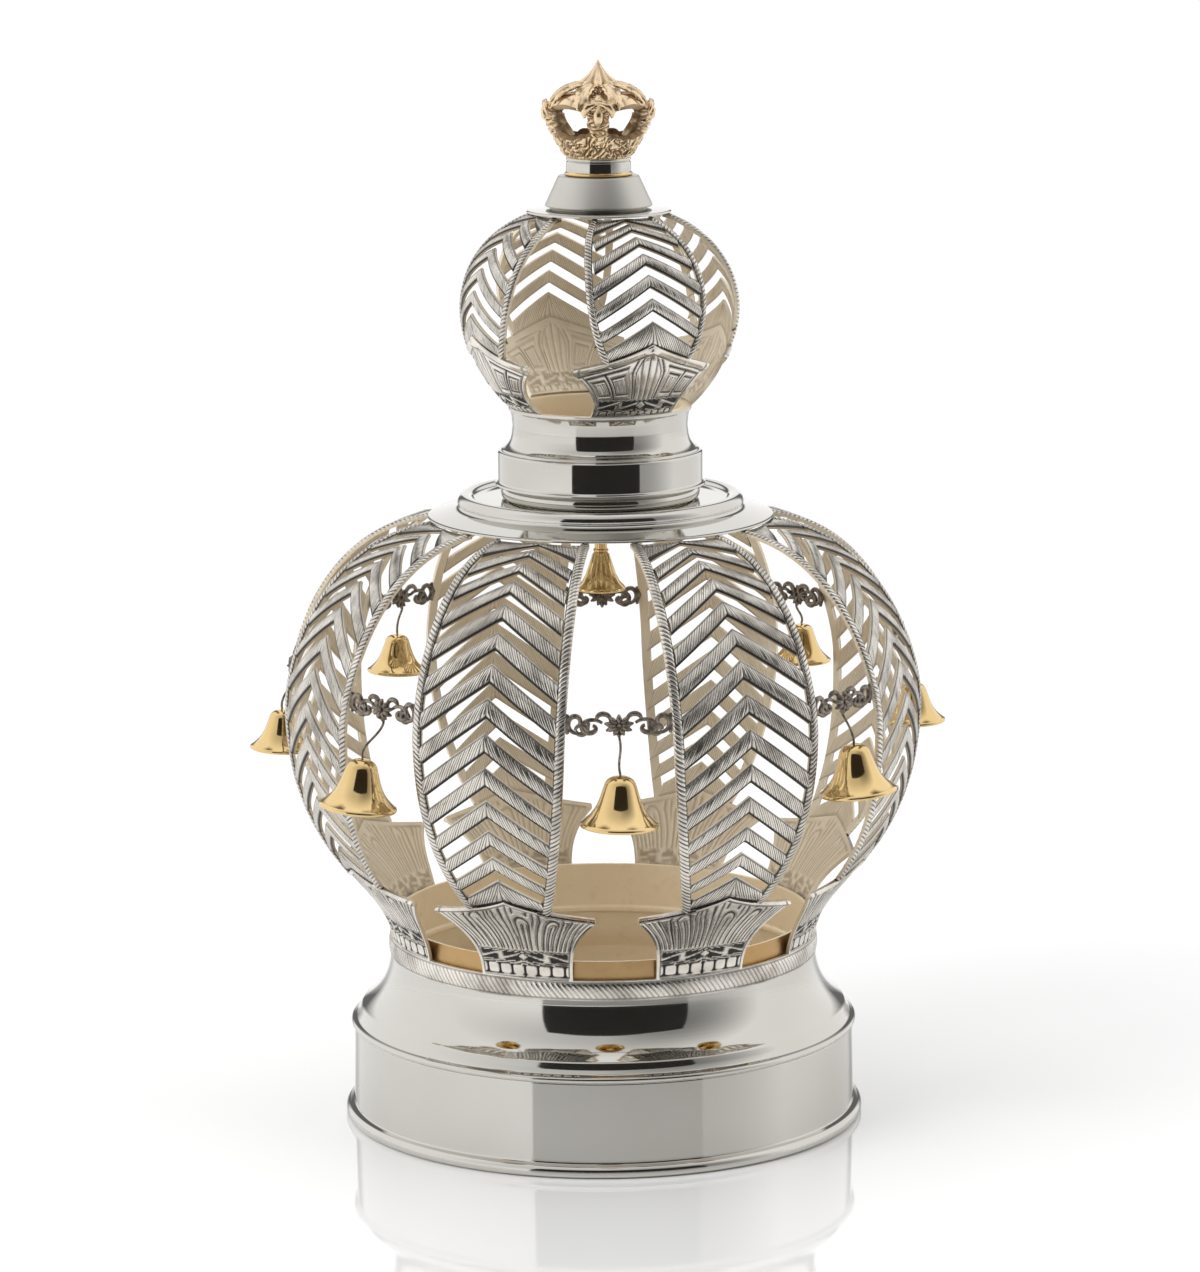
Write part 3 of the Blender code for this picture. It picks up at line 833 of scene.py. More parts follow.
# Panels with frames inside frames, either side of a small pointed arch
def panelPattern(place, height):
    across = np.abs(place)
    reach = np.clip((across - 0.27) / 0.65, 0, 0.999) * 2
    local = reach - np.floor(reach)
    level = height * 1.12
    edge = np.minimum(np.minimum(local, 1 - local) * 1.1, np.minimum(level, 1 - level) * 0.9)
    frames = lineAt(edge, 0.02, 0.05) + lineAt(edge, 0.19, 0.045)
    hatch = clipped(np.abs((local * 8) % 1.0 - 0.5) * 4 - 1.1) * (edge > 0.25) * 0.9
    bend = np.hypot(across / 0.25, np.clip((height - 0.45) / 0.75, 0, 2))
    petals = clipped(np.abs((place * 10.0) % 1.0 - 0.5) * 4 - 1.2) * (bend < 0.72)
    arch = lineAt(bend, 0.95, 0.09) + lineAt(bend, 0.76, 0.05)
    return np.where(across > 0.27, clipped(frames + hatch), clipped(arch + petals))


# How deep the capital is cut: a row of squares, a scroll band, fine lines and the pattern above
def capitalField(leaf, place, fromFoot, fromTop, tall, rim):
    a, b, c, d, e = leaf["bandHeights"]
    inSquares = ((fromFoot > a) & (fromFoot < b)).astype(float)
    cell = (place * leaf["squares"] / 2 * 1.06) % 1.0 - 0.5
    level = (fromFoot - (a + b) / 2) / (b - a)
    corners = (np.abs(cell) * 2.2) ** 4 + (np.abs(level) * 2.1) ** 4
    squareCut = inSquares * clipped((corners - 0.55) * 3)
    inScroll = ((fromFoot > c) & (fromFoot < d)).astype(float)
    level = (fromFoot - c) / (d - c) * 2 - 1
    curl = np.sin(np.abs(place) * 13.0 + 2.0 * level) * 0.6
    diamond = np.abs(place) * 8.0 + np.abs(level)
    ribbon = clipped(np.abs(level - curl) * 2.6 - 0.6)
    scrollCut = inScroll * np.where(diamond < 1.2, clipped((diamond - 0.7) * 4), ribbon)
    lines = [lineAt(fromFoot, height, 0.32) for height in (a * 0.6, (b + c) / 2, (d + e) / 2)]
    height = np.clip(fromFoot - e, 0, None) / np.maximum(tall - rim - e, 1e-6)
    carved = flutePattern(leaf, place, height) if leaf["flutes"] else panelPattern(place, height)
    inPattern = clipped((fromFoot - e) / 0.4) * clipped((fromTop - rim - 0.3) / 0.4)
    return np.maximum.reduce([squareCut, scrollCut, *lines, carved * inPattern])


capitalMesh = {"columns": 127, "rows": 76, "backRows": 38, "rimPlace": 0.93}


def addCapital(build, bulb, leaf):
    rows, rimPlace = capitalMesh["rows"], capitalMesh["rimPlace"]
    rim = leaf["rim"]
    place = np.linspace(-1, 1, capitalMesh["columns"])[None, :]
    share = np.linspace(0, 1, rows)[:, None]
    bow = leaf["bow"] * np.sin(math.pi * np.abs(place) ** 0.8)
    topLine = leaf["cornice"] - corniceRise(leaf) * np.abs(place) - bow
    along = leaf["foot"] + share * (topLine - leaf["foot"])
    fromFoot, fromTop = along - leaf["foot"], topLine - along
    inside = (np.abs(place) < rimPlace).astype(float)
    field = capitalField(leaf, place, fromFoot, fromTop, topLine - leaf["foot"], rim) * inside
    rimLine = lineAt(np.abs(place), rimPlace, 0.016) * clipped((fromFoot - 0.6) / 0.4)
    cut = clipped(np.maximum.reduce([field, rimLine, lineAt(fromTop, rim, 0.38)]))
    cornice = clipped(1 - fromTop / rim)
    out = 0.05 + 0.85 * np.sin(math.pi / 2 * cornice) - 0.36 * cut * (1 - cornice)
    out = out + leaf["boss"] * np.exp(-(((place * 26) / 1.9) ** 2) - ((fromTop - 3.0) / 1.5) ** 2)
    out = out - 0.4 * (share > 0.999)
    across = place * capitalHalf(leaf, along)
    front = bulb.place(across, along, out)
    keep = np.linspace(0, rows - 1, capitalMesh["backRows"]).astype(int)
    plain = cornice[keep] < 0.05
    back = bulb.place(across[keep], along[keep], -leaf["thickness"] - 0.22 * cut[keep] * plain)
    build.slab(front, back, cut, cut[keep] * inside * plain, edgeSlot=0)
    build.grid(np.stack([back[:, 0], front[keep, 0]], 1), slot=1)
    build.grid(np.stack([back[:, -1], front[keep, -1]], 1), slot=1, flip=True)


def leafMesh(name, bulb, leaf):
    build = Build()
    addCapital(build, bulb, leaf)
    end = bulb.length - 0.3
    for number in range(1, leaf["bars"] + 1):
        top = barTop(leaf, number)
        pitch = top - barTop(leaf, number - 1)
        low, high = barLines(leaf, top - pitch * leaf["barShare"], top, onCornice=number == 1)
        addBar(build, bulb, leaf, low, high, number)
    low, high = barLines(leaf, end - leaf["endBand"], end, flatTop=True)
    addBar(build, bulb, leaf, low, high, 99)
    edge = float(leafHalf(leaf, bulb, np.array(leaf["cornice"])))
    start = leaf["cornice"] - corniceRise(leaf) * edge / leaf["tipHalf"] - 1.4
    for side in (-1, 1):
        addRopeEdge(build, bulb, leaf, side, start, end)
    return build.mesh(name, [engravedSilver, gilt], 50)


leafRing = {
    "count": 8,
    "frontGap": 47.0,
    "frontGapAzimuth": 3.0,
    "shifts": {3: -2.4, 4: -4.0, 5: -3.6},
}
otherGap = (360.0 - leafRing["frontGap"]) / (leafRing["count"] - 1)
firstLeaf = leafRing["frontGapAzimuth"] + leafRing["frontGap"] / 2
leafAzimuths = [
    math.radians(firstLeaf + index * otherGap + leafRing["shifts"].get(index, 0.0))
    for index in range(leafRing["count"])
]

largeLeafMesh = leafMesh("largeLeaf", largeBulb, largeLeaf)
for index, azimuth in enumerate(leafAzimuths):
    placePiece(f"leaf{index + 1}", largeLeafMesh, [f"leaf_{index + 1}"], azimuth)
print("large leaves made,", len(largeLeafMesh.polygons), "faces each")

smallRing = {"count": 4, "firstAzimuth": 22.5}
smallLeafMesh = leafMesh("smallLeaf", smallBulb, smallLeaf)
for index in range(smallRing["count"]):
    azimuth = math.radians(smallRing["firstAzimuth"]) + index * 2 * math.pi / smallRing["count"]
    node = f"small_leaf_{index + 1}"
    placePiece(f"smallLeaf{index + 1}", smallLeafMesh, [node], azimuth)
print("small leaves made,", len(smallLeafMesh.polygons), "faces each")


disc = {"radius": 59.9, "edge": 211.6, "ring": 49.5, "plate": 218.2, "segments": 168}


def makeDisc():
    radius, edge, ring, plate = disc["radius"], disc["edge"], disc["ring"], disc["plate"]
    outline = easedOutline(
        [
            (0.02, plate - 1.4),
            (ring - 6.0, plate - 1.4),
            (ring, edge + 2.4),
            (radius - 0.7, edge),
            (radius, edge + 0.3),
            (radius - 0.1, edge + 0.8),
            (radius - 0.7, edge + 1.1),
            (ring + 1.0, edge + 3.5),
            (ring - 0.1, edge + 4.2),
            (ring + 0.2, plate - 1.0),
            (ring - 0.3, plate + 0.5),
            (ring - 1.6, plate + 1.7),
            (ring - 3.2, plate + 1.9),
            (ring - 4.8, plate + 1.3),
            (ring - 5.8, plate + 0.1),
            (ring - 7.5, plate - 0.1),
            (0.02, plate),
        ],
        0.6,
        4,
    )
    return turnedMesh("shoulderDisc", outline, disc["segments"], polishedSilver, 28)


placePiece("shoulderDisc", makeDisc(), ["shoulder_disc"])


collar = {"low": 218.2, "band": 35.4, "neck": 31.5, "top": 250.3, "wall": 1.4, "segments": 144}


def makeCollar():
    low, band, neck, top = collar["low"], collar["band"], collar["neck"], collar["top"]
    outside = easedOutline(
        [
            (band - 2.3, low),
            (band - 1.2, low + 0.8),
            (band - 0.9, low + 2.2),
            (band - 1.2, low + 3.6),
            (band - 2.0, low + 4.4),
            (band - 0.6, low + 4.7),
            (band + 1.1, low + 5.1),
            (band + 0.9, low + 5.7),
            (band, low + 6.2),
            (band, low + 16.3),
            (band - 0.5, low + 16.8),
            (band - 1.2, low + 17.0),
            (band - 1.4, low + 17.6),
            (neck + 1.3, low + 18.3),
            (neck + 0.3, low + 19.1),
            (neck - 0.4, low + 20.4),
            (neck - 0.9, low + 22.4),
            (neck - 1.2, low + 25.2),
            (neck - 0.9, low + 28.6),
            (neck - 0.2, top - 1.4),
            (neck + 0.2, top - 0.9),
            (neck + 0.2, top),
        ],
        0.5,
        4,
    )
    inner = neck - 2.0 - collar["wall"]
    foot = [(inner, low + 20.0), (inner + 2.0, low), (band - 2.3, low)]
    inside = easedOutline([(neck + 0.2, top), (inner, top), *foot], 0.4, 3)
    build = Build()
    build.grid(turnOutline(outside, collar["segments"]), roundTrip=True)
    build.grid(turnOutline(inside, collar["segments"]), slot=1, roundTrip=True)
    return build.mesh("collar", [polishedSilver, insideGilt], 28)


placePiece("collar", makeCollar(), ["collar"])


cap = {"low": 317.05, "flange": 24.9, "cone": 18.4, "top": 13.9, "height": 12.5, "segments": 120}


def makeCap():
    low, flange, cone, top = cap["low"], cap["flange"], cap["cone"], cap["top"]
    high = low + cap["height"]
    under = [
        (0.02, high - 1.2),
        (top - 1.6, high - 1.2),
        (cone - 4.5, low),
        (flange, low),
        (flange, low + 0.5),
        (flange - 0.4, low + 0.9),
        (cone - 1.9, low + 1.3),
    ]
    over = [
        (cone - 1.9, low + 1.3),
        (cone - 2.2, low + 1.9),
        (cone - 0.1, low + 2.1),
        (cone, low + 2.6),
        (top + 0.1, high - 0.4),
        (top - 0.2, high),
        (0.02, high),
    ]
    return twoPartMesh("cap", under, over, 0.4, cap["segments"], [polishedSilver, satinSilver])


placePiece("cap", makeCap(), ["cap"])
print("disc, collar and cap made")


finialRing = {"low": 329.6, "radius": 11.6, "height": 6.5, "segments": 96}


def makeFinialRing():
    low, radius = finialRing["low"], finialRing["radius"]
    high = low + finialRing["height"]
    flange = [
        (0.02, low),
        (radius - 0.5, low),
        (radius + 0.1, low + 0.4),
        (radius + 0.1, low + 1.0),
        (radius - 0.4, low + 1.4),
    ]
    band = [
        (radius - 0.4, low + 1.4),
        (radius - 0.5, low + 4.7),
        (radius - 0.9, low + 5.0),
        (radius - 0.4, low + 5.4),
        (radius - 0.5, low + 6.1),
        (radius - 1.2, high),
        (0.02, high),
    ]
    finishes = [bellGold, polishedSilver]
    return twoPartMesh("finialRing", flange, band, 0.3, finialRing["segments"], finishes)


placePiece("finialRing", makeFinialRing(), ["finial_ring"])


# A rod along a path, as thick as radii says and flattened towards the way it faces
def addRod(build, path, radii, sides=8, flatten=1.0, facing=(0.0, -1.0, 0.0)):
    path = np.asarray(path, float)
    radii = np.broadcast_to(radii, len(path))[:, None, None]
    along = np.gradient(path, axis=0)
    along /= np.linalg.norm(along, axis=1)[:, None] + 1e-12
    side = np.cross(along, np.array(facing))
    side /= np.linalg.norm(side, axis=1)[:, None] + 1e-12
    turns = np.linspace(0, 2 * math.pi, sides, endpoint=False)[None, :, None]
    wide = radii * np.cos(turns) * side[:, None]
    deep = radii * flatten * np.sin(turns) * np.cross(side, along)[:, None]
    ring = path[:, None] + wide + deep
    ends = [path[at : at + 1, None].repeat(sides, 1) for at in (0, len(path) - 1)]
    build.grid(np.concatenate([ends[0], ring, ends[1]]), roundTrip=True)


def spiral(centre, startAngle, endAngle, startRadius, endRadius, stretch=1.0, count=26):
    t = np.linspace(0, 1, count)
    angle = np.radians(startAngle + (endAngle - startAngle) * t)
    radius = startRadius + (endRadius - startRadius) * t**0.8
    x = centre[0] + stretch * radius * np.cos(angle)
    z = centre[1] + radius * np.sin(angle)
    return np.stack([x, np.zeros_like(x), z], 1)


finial = {
    "foot": 336.0,
    "wall": 2.4,
    "bandTop": 0.262,
    "canopyLow": 0.70,
    "strapHalf": 0.245,
    "strapDepth": 3.1,
    # Radius and height over the foot of the round body, then of the pointed top
    "profile": [
        (10.3, 0.0), (11.6, 1.7), (12.9, 4.0), (14.3, 6.4), (15.8, 8.7), (16.9, 11.0),
        (17.5, 13.3), (17.5, 15.6), (16.8, 17.9), (14.8, 19.7), (12.0, 20.8), (7.0, 21.6),
    ],
    "point": [
        (5.0, 22.4), (7.0, 23.2), (7.7, 24.0), (7.0, 25.0), (5.7, 26.1), (4.4, 27.1),
        (3.2, 28.2), (2.3, 29.3), (1.5, 30.4), (0.9, 31.5), (0.4, 32.4), (0.02, 33.0),
    ],
    "leafPath": [(4.5, 24.8), (8.0, 24.3), (11.6, 23.2), (14.6, 21.3), (16.8, 18.9), (17.8, 16.9)],
    "leafWidths": [1.4, 2.3, 2.9, 2.7, 1.8, 0.5],
    # A boss and two fronds on each strap: across, out and up
    "boss": [(0, 17.0, 11.4), (0, 18.3, 13.6), (0, 18.5, 15.8), (0, 17.4, 18.0)],
    "bossWidths": [0.5, 1.5, 1.7, 0.8],
    "frond": [(1.2, 17.8, 19.0), (3.4, 18.3, 18.2), (4.9, 17.6, 16.2), (4.6, 17.2, 14.4)],
    "frondWidths": [0.7, 1.3, 1.2, 0.4],
}


def finialSurface(azimuth, share, out):
    table = np.array(finial["profile"])
    steps = np.linspace(0, 1, len(table))
    radius = np.interp(share, steps, table[:, 0])
    height = np.interp(share, steps, table[:, 1])
    leanR = np.gradient(table[:, 0])
    leanZ = np.gradient(table[:, 1])
    size = np.hypot(leanR, leanZ)
    outR = np.interp(share, steps, leanZ / size)
    outZ = np.interp(share, steps, -leanR / size)
    radius = radius + out * outR
    height = height + out * outZ + finial["foot"]
    azimuth, radius, height = np.broadcast_arrays(azimuth, radius, height)
    return np.stack([radius * np.sin(azimuth), -radius * np.cos(azimuth), height], 2)


# Cast curls: rings standing up round small hollows
def curls(across, rise):
    sway = 0.22 * np.sin(across * 2.9 + rise * 4.3) + 0.12 * np.sin(across * 7.1)
    x = ((across + sway * 0.5) % 1.0 - 0.5) * 2
    z = ((rise + sway * 0.6) % 1.0 - 0.5) * 2
    away = np.hypot(x, z)
    turn = np.arctan2(z, x) / (2 * math.pi)
    coil = np.abs(((away * 1.55 - turn) % 1.0) - 0.5) * 2
    return clipped(1.25 - coil * 1.35) * clipped(1.35 - away * 0.55)


def addFinialBand(build, lowLevel, highLevel, rows, relief, edgeCut):
    around = np.linspace(0, 2 * math.pi, 288, endpoint=False)[None, :]
    share = np.linspace(0, 1, rows)[:, None]
    low, high = lowLevel(around), highLevel(around)
    level = low + share * (high - low)
    raised = relief(around, share)
    eased = np.sin(math.pi * clipped(share * 0.9 + 0.05)) ** 0.5
    front = finialSurface(around, level, 1.15 * raised * eased)
    back = finialSurface(around, level, -finial["wall"])
    build.grid(front, clipped(1.1 - raised * 2.0), roundTrip=True)
    build.grid(back, 0.7, roundTrip=True, flip=True)
    build.grid(np.stack([front[-1], back[-1]], 0), edgeCut, roundTrip=True)
    build.grid(np.stack([back[0], front[0]], 0), edgeCut, roundTrip=True)


# A strap from the band to the top: a thick arm with a chain of curls down its front
def addFinialStrap(build, azimuth):
    share = np.linspace(0.20, 0.99, 76)[:, None]
    turn = np.linspace(0, 2 * math.pi, 40, endpoint=False)[None, :]
    swell = 0.92 + 0.16 * np.abs(np.sin(share * 17.0)) + 1.1 * clipped(share - 0.70)
    place = np.cos(turn)
    angle = azimuth + place * finial["strapHalf"] * swell
    raised = curls(place * 0.47 + 0.5, share * 6.6) * clipped(np.sin(turn) * 2.5)
    depth = finial["strapDepth"] * (1 - 0.45 * clipped((share - 0.7) / 0.3))
    out = -depth + depth * np.sin(turn) * 0.97 + 1.25 * raised
    cut = clipped(0.95 - raised * 2.2) * np.clip(np.sin(turn) * 2.0 + 0.9, 0.3, 1)
    build.grid(finialSurface(angle, share, out), cut, roundTrip=True)


# A rod that is drawn facing the front, then turned round the finial to its place
def addTurnedRod(build, points, widths, sides, flatten, azimuth):
    turn = np.array(Matrix.Rotation(azimuth, 3, "Z")).T
    facing = np.array([0.0, -1.0, 0.0]) @ turn
    addRod(build, np.array(points) @ turn, widths, sides, flatten, facing)


def addStrapLeaves(build, azimuth):
    foot = finial["foot"]
    boss = [(x, -out, foot + up) for x, out, up in finial["boss"]]
    addTurnedRod(build, boss, finial["bossWidths"], 12, 0.7, azimuth)
    for side in (-1, 1):
        frond = [(side * x, -out, foot + up) for x, out, up in finial["frond"]]
        addTurnedRod(build, frond, finial["frondWidths"], 10, 0.7, azimuth)


# Leaves that droop from under the point over the tops of the windows, each with a rib
def addWindowLeaf(build, azimuth):
    path = np.array([(0, -r, finial["foot"] + z) for r, z in finial["leafPath"]])
    share = np.linspace(0, 1, 21)
    steps = np.linspace(0, 1, len(path))
    fine = np.stack([np.interp(share, steps, path[:, axis]) for axis in range(3)], 1)
    widths = np.interp(share, steps, finial["leafWidths"]) * (1 + 0.12 * np.cos(share * 38))
    addTurnedRod(build, fine, widths, 14, 0.34, azimuth)
    ribWidths = np.minimum(widths * 0.3, 0.55)
    addTurnedRod(build, fine + np.array([0, -0.35, 0.55]), ribWidths, 6, 1.0, azimuth)


# The pointed top, with ribs that run into its leafy edge
def addFinialPoint(build):
    around = np.linspace(0, 2 * math.pi, 160, endpoint=False)[None, :]
    radii, levels = np.array(finial["point"]).T[:, :, None]
    petals = 0.5 + 0.5 * np.cos(around * 8)
    fade = clipped((31.5 - levels) / 7.5)
    reach = radii * (1 - 0.26 * fade * (1 - petals))
    drop = 1.2 * petals * (levels < 24.5) * (radii > 6.0)
    height = np.broadcast_to(finial["foot"] + levels - drop, reach.shape)
    top = np.stack([reach * np.sin(around), -reach * np.cos(around), height], 2)
    build.grid(top, clipped(1 - petals * 2.2) * fade, roundTrip=True)


def bandRelief(around, share):
    lower = curls(around * 16 / (2 * math.pi), share * 1.7)
    upper = curls(around * 16 / (2 * math.pi) + 0.5, share * 1.7 + 0.15)
    beads = np.abs(np.sin(around * 22)) * (share < 0.12)
    return clipped(np.where(share < 0.56, lower, upper) + beads)


def bandEdge(around):
    return finial["bandTop"] + 0.07 * np.cos(around * 2) ** 2 + 0.02 * np.abs(np.sin(around * 10))


def canopyRelief(around, share):
    return clipped(0.25 + 0.75 * np.abs(np.cos(around * 8)) * (1 - 0.4 * share))


def canopyEdge(around):
    return finial["canopyLow"] + 0.05 * np.abs(np.cos(around * 4))


def makeFinial():
    build = Build()
    addFinialBand(build, lambda around: 0.0, bandEdge, 30, bandRelief, 0.2)
    addFinialBand(build, canopyEdge, lambda around: 1.0, 16, canopyRelief, 0.4)
    for quarter in range(4):
        azimuth = quarter * math.pi / 2
        addFinialStrap(build, azimuth)
        addStrapLeaves(build, azimuth)
    for index in range(8):
        addWindowLeaf(build, (index + 0.5) * math.pi / 4)
    addFinialPoint(build)
    return build.mesh("finialCrown", [castGold], 60)


placePiece("finialCrown", makeFinial(), ["finial_crown"])
print("finial made")


scrollBar = {
    "inset": 2.6,
    "height": 159.5,
    "highHeight": 169.5,
    "highGaps": (2, 3, 5),
    "backGap": 4,
    "backHeight": 164.0,
    "thick": 0.74,
    "drawnHalf": 15.5,
    "eyeDrop": 4.5,
    "petals": 9,
    "rosette": (4.8, 3.5),
}


# A wire that is thin at both ends
def taper(count):
    return scrollBar["thick"] * (0.65 + 0.55 * np.sin(np.linspace(0.1, math.pi - 0.2, count)))


def scrollBarMesh(name, halfLength):
    build = Build()
    reach = halfLength / scrollBar["drawnHalf"]
    loop = spiral((8.2 * reach, -0.9), 150, -240, 3.2, 0.9, 1.35)
    hook = spiral((halfLength - 3.4, 1.0), 250, 570, 3.9, 1.2, 0.95)
    leafTip = spiral((5.0 * reach, 1.9), 200, 10, 2.6, 1.4, 1.2, 14)
    ring = spiral((halfLength - 5.0, -1.6), 0, 350, 1.7, 1.5, 1.1, 16)
    link = [(halfLength - 4.0, 0, -2.9), (halfLength - 7.0, 0, -2.2), (8.8 * reach, 0, 0.9)]
    tail = halfLength + np.array([-0.6, 0.2, -0.6])
    tail = np.stack([tail, [0.0, 0.0, 0.0], [3.8, 0.6, -2.8]], 1)
    for side in (-1, 1):
        for path in (loop, hook, leafTip, ring, link, tail):
            addRod(build, np.array(path) * [side, 1, 1], taper(len(path)))
    wide, tall = scrollBar["rosette"]
    for petal in range(scrollBar["petals"]):
        angle = 2 * math.pi * petal / scrollBar["petals"] + math.pi / 2
        x, z = wide * math.cos(angle), tall * math.sin(angle)
        path = [(x * t, -0.4 - 0.9 * math.sin(math.pi * t), z * t) for t in (0.15, 0.4, 0.72, 1.0)]
        addRod(build, path, [0.45, 0.85, 0.95, 0.35])
    addRod(build, [(0, -1.2, 0.8), (0, -1.9, 0.0), (0, -1.2, -0.8)], [0.5, 1.0, 0.5])
    addRod(build, [(0, -0.4, -2.0), (0, -0.7, -3.2), (0, -0.4, -4.2)], [0.4, 0.9, 0.3])
    return build.mesh(name, [scrollMetal], 60)


bell = {
    "radius": 13.1,
    "height": 17.0,
    "wall": 0.7,
    "wire": 0.42,
    "segments": 64,
    "eyeGap": 0.2,
    # Shares of the radius and the height, from the top down to the rolled lip
    "shape": [
        (0.0015, 1.0), (0.13, 0.995), (0.24, 0.968), (0.33, 0.92), (0.385, 0.86), (0.425, 0.77),
        (0.465, 0.67), (0.52, 0.54), (0.575, 0.435), (0.64, 0.34), (0.735, 0.24), (0.86, 0.15),
        (0.94, 0.10), (0.985, 0.078), (1.0, 0.045), (0.99, 0.012), (0.96, 0.0), (0.925, 0.015),
    ],
    # For each gap: how far the wire leans out, its length, the bell's size and its tilt
    "hangs": {
        0: (8.0, 10.6, 1.0, 1.5),
        1: (5.0, 9.0, 1.0, -5.7),
        2: (5.5, 14.2, 0.82, -2.0),
        3: (3.0, 6.2, 0.82, 0.0),
        5: (3.0, 9.0, 0.82, 1.5),
        6: (4.6, 10.9, 0.82, 3.0),
        7: (10.0, 10.6, 1.0, 6.6),
    },
}


# Bells hang from their tops, so their heights run down from zero
def bellMesh(name, size):
    radius, tall, wall = bell["radius"] * size, bell["height"] * size, bell["wall"]
    outside = [(r * radius, z * tall) for r, z in bell["shape"]]
    inside = [(max(r - wall, 0.02), z - 0.2) for r, z in reversed(outside[2:13])]
    outline = np.array(outside + inside + [(0.02, tall - 1.6 * wall)]) - np.array([0.0, tall])
    return turnedMesh(name, outline[::-1], bell["segments"], bellGold, 50)


def wireMesh(name, lean, length):
    build = Build()
    share = np.linspace(0, 1, 18)
    ease = share * share * (3 - 2 * share)
    x = 0.05 * lean * np.sin(2 * math.pi * share)
    y = -lean * ease - 0.9 * np.sin(math.pi * share)
    z = 0.8 - (length + 0.9) * share
    addRod(build, np.stack([x, y, z], 1), bell["wire"])
    return build.mesh(name, [scrollMetal], 60)


bellMeshes = {size: bellMesh(f"bell{round(size * 100)}", size) for size in (1.0, 0.82)}
for index in range(leafRing["count"]):
    before = leafAzimuths[index - 1] - (2 * math.pi if index == 0 else 0.0)
    azimuth = (before + leafAzimuths[index]) / 2
    gapAngle = leafAzimuths[index] - before
    number = index + 1
    height = scrollBar["highHeight"] if index in scrollBar["highGaps"] else scrollBar["height"]
    if index == scrollBar["backGap"]:
        height = scrollBar["backHeight"]
    along = largeBulb.alongAt(height)
    distance = largeBulb.radiusAt(along) - scrollBar["inset"]
    leafAngle = float(leafHalf(largeLeaf, largeBulb, np.array(along))) / largeBulb.radiusAt(along)
    halfLength = distance * math.tan(gapAngle / 2 - leafAngle)
    barMesh = scrollBarMesh(f"scrollBar{number}", halfLength)
    spot = (0.0, -distance * mm, height * mm)
    node = f"scroll_bar_{number}"
    placePiece(f"scrollBar{number}", barMesh, [node], azimuth, spot)
    if index not in bell["hangs"]:
        continue
    lean, wireLength, size, tilt = bell["hangs"][index]
    eye = height - scrollBar["eyeDrop"]
    spot = (0.0, -distance * mm, eye * mm)
    wire = wireMesh(f"bellWire{number}", lean, wireLength)
    node = f"bell_wire_{number}"
    placePiece(f"bellWire{number}", wire, [node], azimuth, spot)
    spot = (0.0, -(distance + lean) * mm, (eye - wireLength - bell["eyeGap"]) * mm)
    node = f"bell_{number}"
    placePiece(f"bell{number}", bellMeshes[size], [node], azimuth, spot, tilt)
print("scroll bars, wires and bells made")


centreBell = {"radius": 8.6, "lip": 185.5, "top": 216.7, "stem": 2.15, "wall": 0.7, "segments": 64}


def makeCentreBell():
    radius, lip, top, stem = (centreBell[key] for key in ("radius", "lip", "top", "stem"))
    outside = [
        (stem, top),
        (stem, lip + 14.6),
        (stem + 0.5, lip + 14.3),
        (stem + 0.5, lip + 13.7),
        (stem + 0.1, lip + 13.4),
        (stem + 0.8, lip + 12.6),
        (0.46 * radius, lip + 9.5),
        (0.60 * radius, lip + 5.8),
        (0.76 * radius, lip + 3.0),
        (0.94 * radius, lip + 1.5),
        (0.97 * radius, lip + 1.2),
        (1.00 * radius, lip + 0.7),
        (0.98 * radius, lip + 0.1),
        (0.92 * radius, lip),
    ]
    inside = [(r - centreBell["wall"], z - 0.2) for r, z in reversed(outside[5:10])]
    outline = np.array([(0.02, top), *outside, *inside, (0.02, lip + 11.6)])
    return turnedMesh("centreBell", outline[::-1], centreBell["segments"], bellGold, 50)


placePiece("centreBell", makeCentreBell(), ["centre_bell"])


# Studio: a white floor, white surroundings and a dark card in front that only reflections see
studio = {
    "floorHalf": 30.0,
    "surround": 1.15,
    "aboveDark": 0.80,
    "rightDark": 1.3,
    "flagDark": 0.85,
    "lights": {
        "keyLight": {"place": (-1.6, -1.2, 1.7), "power": 29.0},
        "fillLight": {"place": (1.7, -0.9, 1.3), "power": 9.0},
    },
    "lightSize": 1.4,
    "lightAim": 0.18,
    "cardDistance": 1.66,
    "cardLeft": -1.02,
    "cardRight": 1.62,
    "cardLow": 0.02,
    "cardTop": 1.55,
}


def addPlane(name, corners, material):
    made = bpy.data.meshes.new(name)
    made.from_pydata(corners, [], [(0, 1, 2, 3)])
    made.materials.append(material)
    plane = bpy.data.objects.new(name, made)
    bpy.context.scene.collection.objects.link(plane)
    return plane


def addFloorAndCard():
    half = studio["floorHalf"]
    corners = [(-half, -half, 0), (half, -half, 0), (half, half, 0), (-half, half, 0)]
    addPlane("floor", corners, floorWhite)
    front = crownAxis.y - studio["cardDistance"]
    left, right, low, top = (studio[key] for key in ("cardLeft", "cardRight", "cardLow", "cardTop"))
    corners = [(left, front, low), (right, front, low), (right, front, top), (left, front, top)]
    addPlane("frontCard", corners, darkCard).visible_camera = False


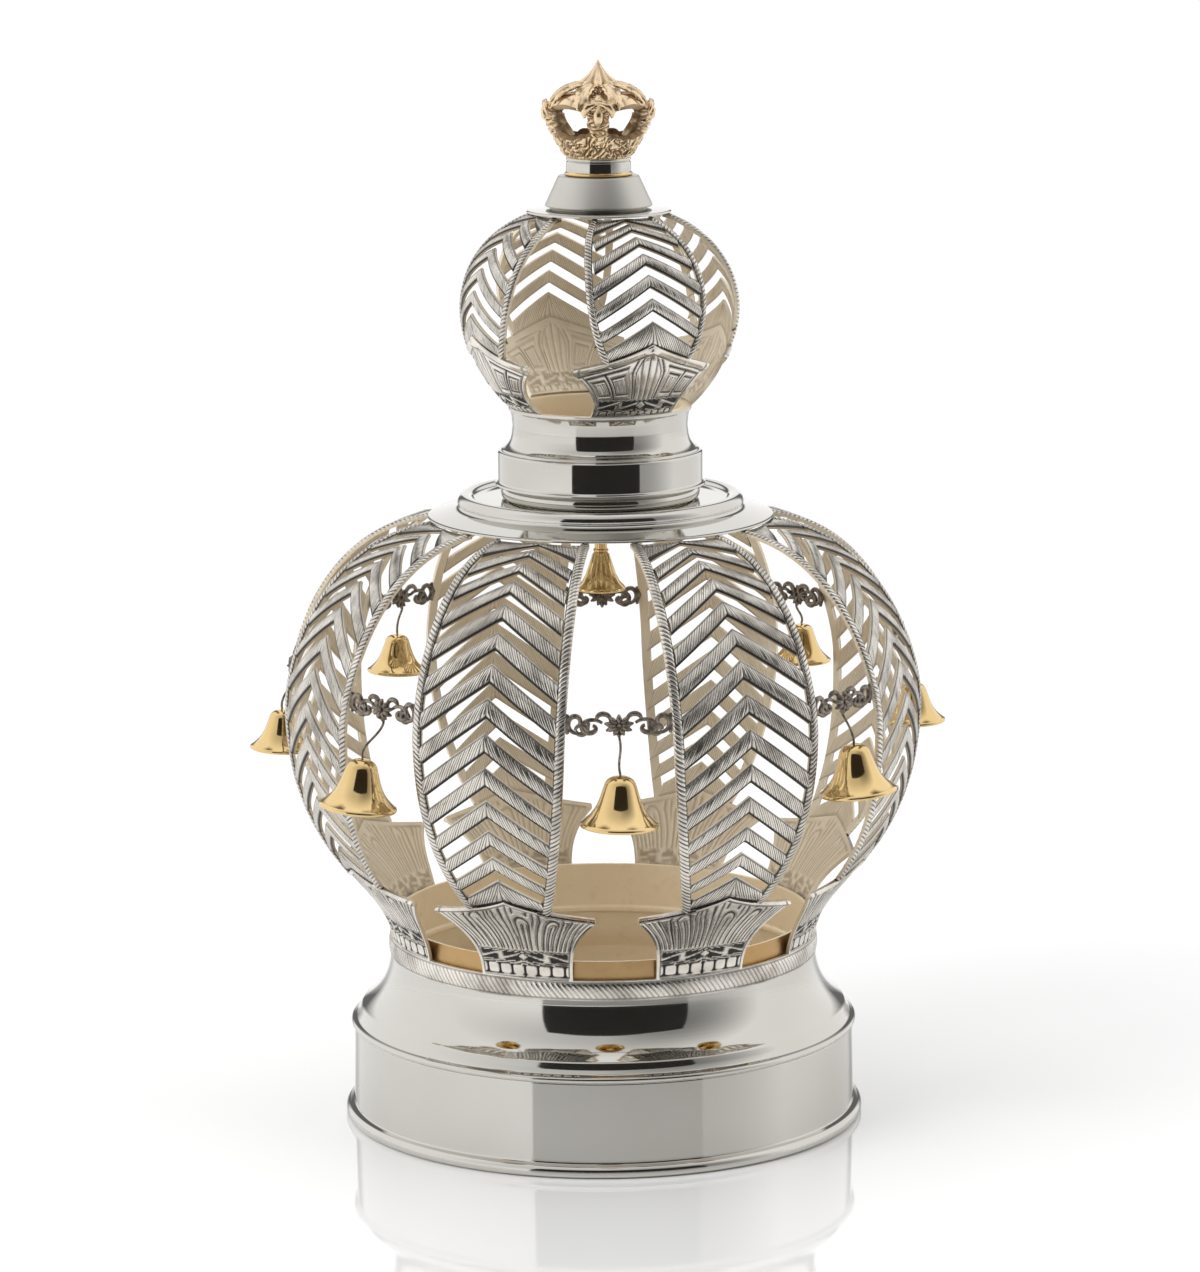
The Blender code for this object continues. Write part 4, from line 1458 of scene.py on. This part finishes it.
# The white surroundings darken in front, upwards and to the right. Dark flags behind, outside
# what the camera sees, draw the dark edges of the polished parts.
def makeSurroundings():
    world = bpy.data.worlds.new("whiteStudio")
    bpy.context.scene.world = world
    world.use_nodes = True
    g = Graph(world.node_tree, "Generated")
    across, along, up = g.separate(g.coords)
    ahead = (along * -1.0).clamped()
    away = across.size()
    dark = ahead * (up.positive() * studio["aboveDark"] + across.positive() * studio["rightDark"])
    flags = away.ramp(0.18, 0.24) * (1.0 - away.ramp(0.34, 0.46)) * along.ramp(0.0, 0.2)
    level = (1.0 - dark - flags * studio["flagDark"]).clamped()
    background = world.node_tree.nodes["Background"]
    background.inputs["Strength"].default_value = studio["surround"]
    g.tree.links.new(level.socket, background.inputs["Color"])


# Lights that soften the floor's shadow and stay out of the reflections
def addSoftLight(name, place, power):
    light = bpy.data.lights.new(name, "AREA")
    light.energy = power
    light.size = studio["lightSize"]
    lamp = bpy.data.objects.new(name, light)
    lamp.location = place
    lamp.visible_glossy = False
    aim = crownAxis + Vector((0, 0, studio["lightAim"])) - Vector(place)
    lamp.rotation_euler = aim.to_track_quat("-Z", "Y").to_euler()
    bpy.context.scene.collection.objects.link(lamp)


addFloorAndCard()
makeSurroundings()
for name, light in studio["lights"].items():
    addSoftLight(name, light["place"], light["power"])
bpy.context.scene.view_settings.view_transform = "Standard"


# The view of the photograph, with angles in degrees
shot = {
    "distance": 1.724,
    "height": 0.4936,
    "down": 10.66,
    "roll": 0.34,
    "focalPixels": 5042.0,
    "imageWidth": 1200,
    "centreX": 601.3,
}


def addCamera():
    data = bpy.data.cameras.new("photoCamera")
    data.sensor_fit = "HORIZONTAL"
    data.sensor_width = 36.0
    data.lens = data.sensor_width * shot["focalPixels"] / shot["imageWidth"]
    data.shift_x = (shot["imageWidth"] / 2 - shot["centreX"]) / shot["imageWidth"]
    camera = bpy.data.objects.new("photoCamera", data)
    down, roll = math.radians(shot["down"]), math.radians(shot["roll"])
    ahead = Vector((0, math.cos(down), -math.sin(down)))
    level = Vector((1, 0, 0))
    upright = Vector((0, math.sin(down), math.cos(down)))
    side = level * math.cos(roll) - upright * math.sin(roll)
    up = upright * math.cos(roll) + level * math.sin(roll)
    turn = Matrix((side, up, -ahead)).transposed().to_4x4()
    spot = crownAxis + Vector((0, -shot["distance"], shot["height"]))
    camera.matrix_world = Matrix.Translation(spot) @ turn
    bpy.context.scene.collection.objects.link(camera)
    bpy.context.scene.camera = camera


addCamera()

print("studio and camera set")
